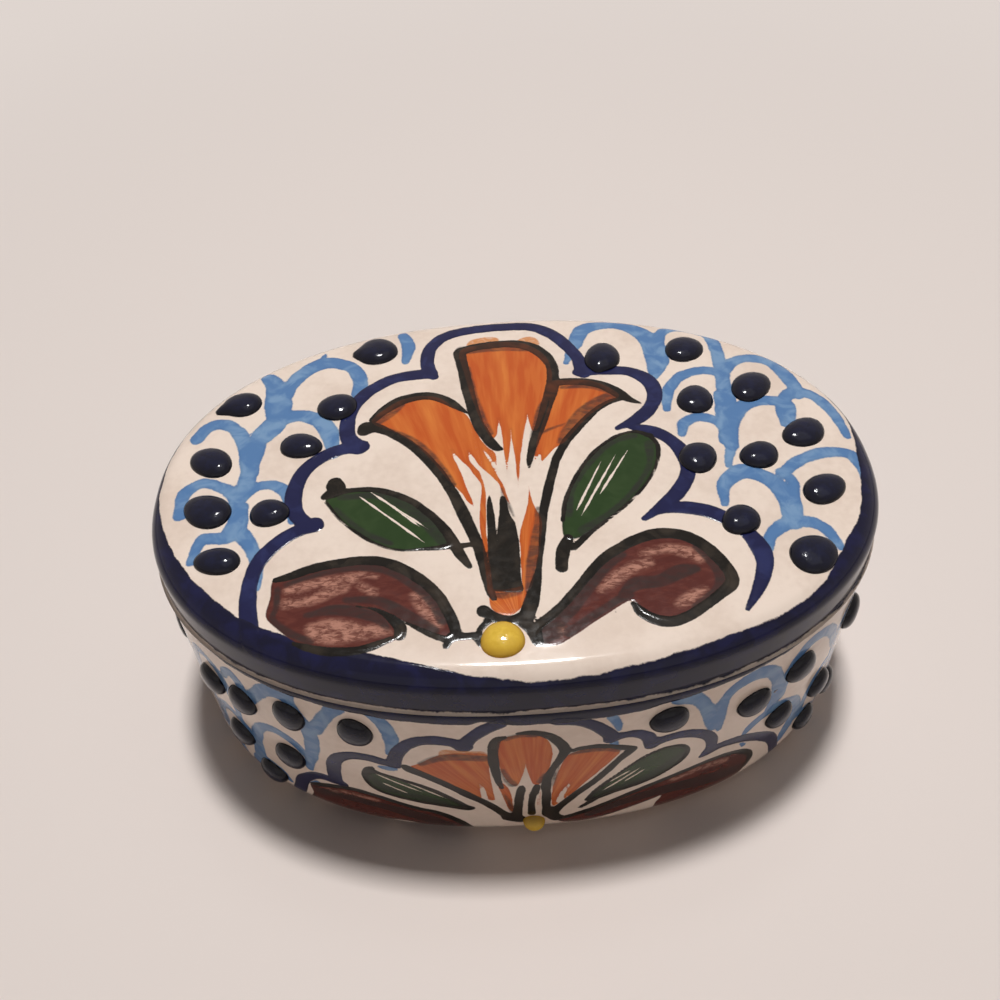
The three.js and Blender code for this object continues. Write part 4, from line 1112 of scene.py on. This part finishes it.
        (1.4, [(-14.9, -12.8, 1.0), (-12.9, -11.2, 1.4), (-10.8, -10.5, 1.6), (-8.4, -10.5, 1.6),
               (-6.2, -10.7, 1.4)]),
        (0.9, [(-3.6, -5.9), (-1.6, -5.2), (0.4, -5.4)]),
        (1.3, [(-4.1, -13.8, 0.6), (-3.5, -16.4, 1.2), (-2.8, -18.0, 1.4)]),
        (1.2, [(1.7, -15.6, 0.6), (1.0, -17.6, 1.2)]),
        (0.9, [(5, -10.8, 0.6), (7, -10.4, 1.0), (9.4, -10.6, 1.0), (11.4, -11.6, 0.8)]),
        (0.9, [(3.4, -13.8, 0.5), (2.9, -16.4, 0.8), (2.6, -19, 0.6)]),
        (0.6, [(-4.2, -20.6, 0.3), (-3.4, -23.4, 0.7), (-3.0, -26.2, 0.8)]),
        (1.5, [(-22.6, -18, 1.0), (-21, -20.6, 1.6), (-17, -22, 1.4), (-12.4, -23.6, 1.4)]),
        (1.3, [(20.4, -16.8, 1.6), (17, -20, 1.4), (12.6, -22, 1.4), (9.4, -22.6, 1.4)]),
        (2.4, [(-32, -27.8, 1.8), (-28, -26.6, 2.0), (-22, -26.8, 2.0), (-16, -28.6, 2.6), (-12.4, -30.6, 2.4)]),
        (2.4, [(8, -28.8, 1.6), (14, -26.4, 2.2), (20, -26.0, 2.6), (26, -27.4, 3.0), (31, -28.4, 2.4)]),
    ],
    "pale": [
        (1.0, [(20.0, -23.6), (24.6, -22.9), (28.4, -23.6)]),
        (1.0, [(-30.0, -26.2), (-26.4, -25.2), (-22.6, -25.4)]),
    ],
    "orange": [
        (0.4, [(0.85, -20.4, 0.3), (0.7, -23.4), (0.75, -26.6)]),
        (0.35, [(-1.15, -22.4, 0.2), (-1.2, -27)]),
    ],
    "wedges": [
        (0.7, [(-7.1, -17.8, 0.3), (-6.9, -19.8, 0.7), (-6.7, -22.8, 0.9)]),
        (0.6, [(5.0, -19.0, 0.3), (4.2, -21, 0.7), (3.5, -23.8, 0.7)]),
        (1.2, [(-16.8, -31.6, 0.1), (-18.4, -31.2, 1.0), (-19.8, -32, 2.2), (-21.4, -33.4, 2.4)]),
    ],
}

bowlPatches = {
    "orange": [
        [(-16.4, -14.0), (-14.8, -12.4), (-12.8, -10.5), (-11, -9.6), (-8.6, -9.3), (-6.2, -9.4), (-5.8, -11),
         (-5.8, -14), (-5.7, -17), (-5.5, -20), (-5.3, -22.4), (-5.3, -22.4), (-6.0, -22.6), (-6.8, -22.9),
         (-8.6, -20.8), (-10.8, -18.4), (-13, -16.4)],
        [(-4.6, -17), (-3.6, -18.6), (-3.1, -21), (-2.9, -24), (-2.8, -26.4), (-2.8, -26.4), (-3.4, -25.6),
         (-4.0, -23), (-4.4, -20.4), (-4.8, -18.4)],
        [(-4.1, -6.0), (-2.4, -5.1), (-0.6, -4.8), (0.8, -5.2), (1.8, -6.4), (2.4, -8.4), (2.6, -10.6),
         (2.6, -10.6), (2.4, -12.2), (2.3, -13.6), (1.8, -15.6), (1.2, -17.6), (0.4, -18.6), (-0.2, -17.6),
         (-0.6, -15.6), (-1.0, -12.9), (-1.0, -12.9), (-1.4, -15.4), (-1.9, -17.6), (-2.4, -18.6), (-3.4, -17.4),
         (-4.2, -14.6), (-4.6, -11), (-4.6, -8)],
        [(4.4, -11.2), (6.4, -10.0), (8.4, -10.0), (10.2, -10.6), (11.6, -11.8), (10.8, -13.6), (9.2, -16),
         (7.4, -18.6), (5.8, -21.2), (3.9, -23.9), (2.5, -25.8), (2.5, -25.8), (2.5, -22.6), (2.6, -19.6),
         (3.0, -17), (3.4, -14.8), (3.9, -13)],
    ],
    "smear": [
        [(-12.2, -9.4), (-11.4, -8.6), (-9.0, -8.8), (-7.6, -8.8), (-6.2, -9.0), (-5.8, -10.6), (-9, -10.6),
         (-12, -11)],
    ],
    "green": [
        [(-22.2, -15.8), (-20.4, -16.8), (-17, -18.0), (-14.4, -19.3), (-12.4, -20.9), (-10.6, -22.6),
         (-9.0, -24.6), (-12, -24.6), (-16, -23.9), (-20, -23.0), (-22.2, -21.8), (-23.4, -19.8), (-23.4, -17.8)],
        [(7.6, -24.5), (8.5, -22.1), (9.9, -20.0), (11.8, -17.7), (13.9, -15.6), (16.4, -14.0), (18.8, -13.5),
         (20.8, -14.4), (21.6, -16), (21.2, -17.8), (19.6, -19.7), (17, -21.4), (13.6, -22.6), (10.4, -23.4),
         (8.4, -24.6)],
    ],
    "maroon": [
        [(-33.2, -26.4), (-30.8, -25.0), (-28.2, -23.9), (-25.2, -23.4), (-22.2, -23.9), (-19.4, -24.9),
         (-16.6, -25.9), (-13.8, -26.6), (-11.6, -28.2), (-10, -30.2), (-9.2, -32.2), (-10.4, -34.6), (-16, -35.6),
         (-22, -35.8), (-28, -35.6), (-32.6, -34), (-34, -31.4), (-33.2, -29)],
        [(3.4, -29.2), (6.4, -28.3), (10, -26.6), (14, -24.5), (18, -22.9), (22, -21.8), (25.6, -21.3),
         (28.6, -21.8), (31, -23), (32.8, -25), (33.5, -27.2), (32.6, -29.6), (30, -31.6), (24, -32.8), (18.6, -32),
         (17.8, -30), (18.9, -27.5), (18.9, -27.5), (15.2, -28.6), (11, -30), (7.4, -31.2), (4.6, -31)],
    ],
}

bowlScratches = [
    [((-21.8, -17.0), (-15.3, -20.8)), ((9.6, -22.2), (14.8, -17.4))],
    [((-17.8, -17.9), (-12.0, -22.2)), ((10.4, -20.0), (13.4, -17.6))],
    [((-21.0, -19.4), (-17.4, -21.6)), ((12.6, -20.6), (15.4, -18.2))],
]


def makeBowl():
    profile = bowlProfile()
    mesh, place, run, spot = spinOval("bowlBody", profile, bowl["spokes"])
    corners = np.array(profile)
    offset, height = corners[spot, 0], corners[spot, 1]
    place[:, 2] = height
    writePlaces(mesh, place)

    # run down the outside, from the rim's outer corner
    outer = int(np.nonzero((np.abs(corners[:, 0]) < 1e-6))[0][0])
    steps = np.hypot(*np.diff(corners, axis=0).T)
    down = np.r_[0, np.cumsum(steps)]
    down = (down - down[outer])[spot] + bowl["rimRound"]
    rimTop = int(np.nonzero(np.abs(corners[:, 1] - bowl["height"]) < 1e-6)[0][0])
    lastWall = int(np.nonzero(corners[:, 1] < 1e-6)[0][0])
    outside = (spot >= rimTop) & (spot <= lastWall)

    # both halves carry the same painting, and the arches at the ends run over into the other half
    half = girth / 2
    along = np.mod(run + half / 2, half) - half / 2
    wall = np.stack([along, -down], 1)
    paint = readPaint(wall, bowlStrokes, bowlPatches)
    for shift in (-half, half):
        paint["lightBlue"] = either(paint["lightBlue"], strokeField(wall + [shift, 0], bowlStrokes["lightBlue"]))
    wedges = strokeField(wall, bowlStrokes["wedges"])
    paint["orange"] = without(paint["orange"], wedges)
    paint["maroon"] = without(paint["maroon"], wedges)
    reach, turns, start = bowl["bandWave"]
    paint["band"] = down - np.interp(along, *np.array(bowlBand).T) + reach * np.sin(run * turns + start)
    paint = {name: np.where(outside, values, farAway) for name, values in paint.items()}
    # the band goes over the rim and fades out inside it
    paint["band"] = np.where(spot < rimTop, np.clip(rimTop - spot, 0, farAway), paint["band"])
    finishPaint(mesh, place, wall, paint, bowlScratches)
    # bare clay under the foot ring
    underFoot = (height < 0.02) & (offset < footOuter + 0.2)
    keepField(mesh, "bare", np.where(underFoot, -1.0, 1.0))
    return mesh


# raised drops
drop = {"rise": 1.1, "gap": 0.2, "skirt": 0.45, "spokes": 36, "bands": 12, "fullness": 0.8, "uneven": 0.05,
        "tailWidth": 0.32}

# navy drops on the lid, as in the solid: shares of half the length and width, length, width, turn
lidDrops = [
    (-0.845, 0.12, 6.8, 5.4, -40), (-0.785, 0.465, 6.0, 5.2, 15), (-0.39, 0.77, 6.6, 6.4, 0),
    (-0.5, 0.4, 6.0, 5.8, 0), (-0.595, 0.175, 6.2, 5.0, -10), (-0.83, -0.15, 7.4, 5.6, -30),
    (-0.66, -0.185, 5.6, 4.8, -10), (-0.78, -0.405, 6.2, 4.5, -10), (0.3, 0.63, 7.0, 5.6, 80),
    (0.555, 0.66, 6.6, 5.6, 45), (0.545, 0.315, 6.2, 5.4, 60), (0.72, 0.385, 7.2, 5.6, 50),
    (0.825, 0.09, 7.0, 5.2, 40), (0.51, -0.03, 6.2, 5.2, 60), (0.68, -0.03, 5.8, 5.0, 20),
    (0.825, -0.225, 6.6, 5.0, 35), (0.58, -0.365, 5.6, 4.8, 45), (0.74, -0.54, 6.8, 5.8, 30),
]
lidTails = {2: (200, 0.42), 3: (185, 0.26), 9: (250, 0.12)}  # which way a drop ran, and how far
lowDrops = {5: 0.35}  # the share of its rise that a flatter drop of the wall has

# navy drops on the wall: share of the girth, share of the way down, width, height
bowlDrops = [
    (-0.0825, 0.168, 4.8, 6.0), (-0.1165, 0.183, 4.8, 6.0), (-0.1465, 0.245, 5.0, 5.8), (-0.17, 0.27, 5.2, 5.8),
    (-0.212, 0.25, 5.4, 5.6), (-0.125, 0.502, 5.0, 5.4), (-0.1605, 0.565, 5.2, 5.4), (-0.236, 0.56, 5.4, 5.4),
    (-0.1435, 0.735, 5.0, 4.8), (0.064, 0.158, 5.6, 5.0), (0.11, 0.254, 5.4, 5.2), (0.1385, 0.202, 5.4, 5.6),
    (0.19, 0.26, 5.6, 6.0), (0.236, 0.25, 5.4, 5.6), (0.132, 0.477, 4.8, 5.2), (0.167, 0.525, 5.0, 5.2),
    (0.162, 0.73, 5.0, 4.8), (0.187, 0.69, 4.8, 4.8),
]
yellowDrop = {"lid": (-0.06, -0.835), "lidSize": (5.6, 5.0), "bowl": (0, 0.77), "bowlSize": (3.2, 3.4)}
# each drop's number gives it its own unevenness
seeds = {"lidYellow": 40, "bowlYellow": 50, "front": 0, "back": 20}
slopeStep = 0.1  # millimetres over which a slope is taken


def onLid(x, y):
    # place on the lid's top and the normal there
    right = (lidTop(x + slopeStep, y) - lidTop(x - slopeStep, y)) / (2 * slopeStep)
    back = (lidTop(x, y + slopeStep) - lidTop(x, y - slopeStep)) / (2 * slopeStep)
    normal = np.stack([-right, -back, np.ones_like(right)], -1)
    normal /= np.linalg.norm(normal, axis=-1, keepdims=True)
    return np.stack([x, y, lidTop(x, y) + lid["foot"]], -1), normal


def onWall(along, up):
    # place on the bowl's wall and the normal there
    point, outward = ovalAt(along)
    offset, height = wallSection(wallRun - up)
    offsetAbove, heightAbove = wallSection(wallRun - up - slopeStep)
    slope = np.stack([heightAbove - height, offset - offsetAbove], -1)
    slope /= np.linalg.norm(slope, axis=-1, keepdims=True)
    place = np.column_stack([point + outward * offset[:, None], height])
    return place, np.column_stack([outward * slope[:, :1], slope[:, 1]])


def makeDrop(name, material, body, node, surface, centre, size, turn=0, seed=0, tail=(0, 0), low=1):
    # a half dome spun on its own, then laid on the surface; its skirt goes into the glaze
    climbs = [step / drop["bands"] * math.pi / 2 for step in range(drop["bands"] + 1)]
    profile = [(math.cos(climb) ** drop["fullness"], math.sin(climb)) for climb in reversed(climbs)]
    profile[0] = (0, 1)
    profile += [(1.0, -drop["skirt"]), (0, -drop["skirt"])]
    mesh = spunMesh(name, [(reach, 0, lift) for reach, lift in profile], drop["spokes"])
    local = readPlaces(mesh)
    angle = np.arctan2(local[:, 1], local[:, 0])
    uneven = 1 + drop["uneven"] * (np.sin(2 * angle + seed * 1.7) * 0.5 + np.sin(3 * angle + seed * 2.9) * 0.5)
    # a tail: its direction and how much further it reaches
    aside = np.mod(angle - math.radians(tail[0] - turn) + np.pi, 2 * np.pi) - np.pi
    uneven += tail[1] * np.exp(-(aside / drop["tailWidth"]) ** 2) * np.hypot(local[:, 0], local[:, 1]) ** 2
    flatX, flatY = local[:, 0] * uneven * size[0] / 2, local[:, 1] * uneven * size[1] / 2
    cos, sin = math.cos(math.radians(turn)), math.sin(math.radians(turn))
    place, normal = surface(centre[0] + cos * flatX - sin * flatY, centre[1] + sin * flatX + cos * flatY)
    lift = np.where(local[:, 2] >= 0, local[:, 2] * (drop["rise"] * low + drop["gap"]), local[:, 2])
    writePlaces(mesh, place + normal * lift[:, None])
    # how high on the dome a spot is; the glaze turns lighter towards the top
    keepField(mesh, "crown", np.clip(local[:, 2], 0, 1) ** 2)
    return placePiece(name, mesh, material, body, node)


def addDrops(navy, yellow):
    def onPlan(shareX, shareY):
        return shareX * oval["length"] / 2, shareY * oval["width"] / 2

    drops = []
    for index, (shareX, shareY, long, wide, turn) in enumerate(lidDrops, 1):
        drops.append(makeDrop(f"lidDrop{index:02d}", navy, "lid", f"lid_drop_{index:02d}", onLid,
                              onPlan(shareX, shareY), (long, wide), turn, index, lidTails.get(index, (0, 0))))
    drops.append(makeDrop("lidDropYellow", yellow, "lid", "lid_drop_yellow", onLid,
                          onPlan(*yellowDrop["lid"]), yellowDrop["lidSize"], seed=seeds["lidYellow"]))
    for side, halfTurn in (("front", 0), ("back", 0.5)):
        for index, (share, down, wide, high) in enumerate(bowlDrops, 1):
            centre = ((share + halfTurn) * girth, (1 - down) * wallRun)
            drops.append(makeDrop(f"{side}Drop{index:02d}", navy, "bowl", f"bowl_{side}_drop_{index:02d}",
                                  onWall, centre, (wide, high), seed=index + seeds[side],
                                  low=lowDrops.get(index, 1)))
        share, down = yellowDrop["bowl"]
        centre = ((share + halfTurn) * girth, (1 - down) * wallRun)
        drops.append(makeDrop(f"{side}DropYellow", yellow, "bowl", f"bowl_{side}_drop_yellow",
                              onWall, centre, yellowDrop["bowlSize"], seed=seeds["bowlYellow"]))
    return len(drops)


# camera, floor and light
camera = {"lens": 37.87, "away": 153.9, "elevation": 46.51, "turn": 1.01, "roll": -2.74, "right": 2.05,
          "up": -0.39, "aim": 35, "sensor": 36, "clip": (0.01, 50)}
# metres; a lamp is its power, its size and its place, and all of them face the box
studio = {
    "floor": rgb(231, 219, 212), "floorRoughness": 0.9, "floorSize": 6.0, "backdrop": rgb(223, 213, 207), 
    "fade": (110, 330),  # how far out on the floor it turns into the backdrop, in millimetres
    "world": rgb(255, 250, 246), "worldStrength": 0.06,
    "key": (5.0, (0.08, 0.08), (0.017, 0.088, 0.8)),
    "soft": (1.9, (1.2, 1.0), (0.3, 0.15, 1.5)),
    "fill": (1.0, (1.6, 0.9), (0.0, -1.2, 0.45)),
    "glint": (5.0, (0.1, 0.1), (0.016, 0.272, 0.835)),
}


def addCamera():
    tilt, roll = math.radians(camera["elevation"]), math.radians(camera["roll"])
    right, up = Vector((1, 0, 0)), Vector((0, math.sin(tilt), math.cos(tilt)))
    ahead = Vector((0, math.cos(tilt), -math.sin(tilt)))
    place = -ahead * camera["away"] - right * camera["right"] - up * camera["up"]
    rolledRight = right * math.cos(roll) + up * math.sin(roll)
    rolledUp = up * math.cos(roll) - right * math.sin(roll)
    turned = Matrix.Rotation(-math.radians(camera["turn"]), 4, "Z")
    axes = Matrix((rolledRight, rolledUp, -ahead)).transposed().to_4x4()
    data = bpy.data.cameras.new("camera")
    data.lens, data.sensor_fit = camera["lens"], "HORIZONTAL"
    data.sensor_width = data.sensor_height = camera["sensor"]
    data.clip_start, data.clip_end = camera["clip"]
    made = bpy.data.objects.new("camera", data)
    made.matrix_world = turned @ Matrix.Translation(place * mm) @ axes
    made.location.z += camera["aim"] * mm
    bpy.context.scene.collection.objects.link(made)
    bpy.context.scene.camera = made


def addFloor():
    bm = bmesh.new()
    bmesh.ops.create_grid(bm, x_segments=1, y_segments=1, size=studio["floorSize"] / 2)
    mesh = bpy.data.meshes.new("floor")
    bm.to_mesh(mesh)
    bm.free()
    floor = bpy.data.objects.new("floor", mesh)
    bpy.context.scene.collection.objects.link(floor)
    material = bpy.data.materials.new("floor")
    material.use_nodes = True
    tree = material.node_tree
    shader = tree.nodes["Principled BSDF"]
    shader.inputs["Base Color"].default_value = studio["floor"]
    shader.inputs["Roughness"].default_value = studio["floorRoughness"]
    # far off the floor turns into the plain backdrop
    away = addNode(tree, "ShaderNodeVectorMath", operation="LENGTH")
    feed(tree, away.inputs[0], millimetres(tree))
    far = ramp(tree, away.outputs["Value"], *studio["fade"])
    plain = addNode(tree, "ShaderNodeEmission")
    plain.inputs["Color"].default_value = studio["backdrop"]
    blend = addNode(tree, "ShaderNodeMixShader")
    seen = addNode(tree, "ShaderNodeLightPath").outputs["Is Camera Ray"]
    feed(tree, blend.inputs[0], calc(tree, "MULTIPLY", far, seen))
    feed(tree, blend.inputs[1], shader.outputs[0])
    feed(tree, blend.inputs[2], plain.outputs[0])
    feed(tree, tree.nodes["Material Output"].inputs["Surface"], blend.outputs[0])
    mesh.materials.append(material)


def addLamp(name, power, size, place, lights=True, shines=True):
    data = bpy.data.lights.new(name, "AREA")
    data.shape, data.size, data.size_y, data.energy = "RECTANGLE", size[0], size[1], power
    lamp = bpy.data.objects.new(name, data)
    lamp.location = place
    lamp.rotation_euler = (-Vector(place)).to_track_quat("-Z", "Y").to_euler()
    lamp.visible_diffuse, lamp.visible_glossy = lights, shines
    bpy.context.scene.collection.objects.link(lamp)


def addStudio():
    world = bpy.data.worlds.new("studio")
    bpy.context.scene.world = world
    world.use_nodes = True
    tree = world.node_tree
    back = tree.nodes["Background"]
    # seen straight or in the glaze, the room is the pale backdrop; as light it is faint
    path = addNode(tree, "ShaderNodeLightPath").outputs
    seen = calc(tree, "MAXIMUM", path["Is Camera Ray"], path["Is Glossy Ray"])
    feed(tree, back.inputs[0], mixColour(tree, seen, studio["world"], studio["backdrop"]))
    feed(tree, back.inputs[1], ramp(tree, seen, 0.0, 1.0, studio["worldStrength"], 1.0, smooth=False))
    # the key lamp lights and the glint lamp only shows in the glaze, where a softer lamp would hang
    addLamp("key", *studio["key"], shines=False)
    addLamp("glint", *studio["glint"], lights=False)
    addLamp("soft", *studio["soft"])
    addLamp("fill", *studio["fill"])
    bpy.context.scene.view_settings.view_transform = "Standard"


# build
addCamera()
addFloor()
addStudio()
print("camera, floor and light ready")

lidGlaze = paintedGlaze("lidGlaze", flowerBase["lid"])
bowlGlaze = paintedGlaze("bowlGlaze", flowerBase["bowl"])
navyGlaze = dropGlaze("navyDrop", *dropPalette["navy"])
yellowGlaze = dropGlaze("yellowDrop", *dropPalette["yellow"])
print("glazes ready")

placePiece("lidBody", makeLid(), lidGlaze, "lid", "lid")
print("lid painted")
placePiece("bowlBody", makeBowl(), bowlGlaze, "bowl", "bowl")
print("bowl painted")
print("drops laid:", addDrops(navyGlaze, yellowGlaze))
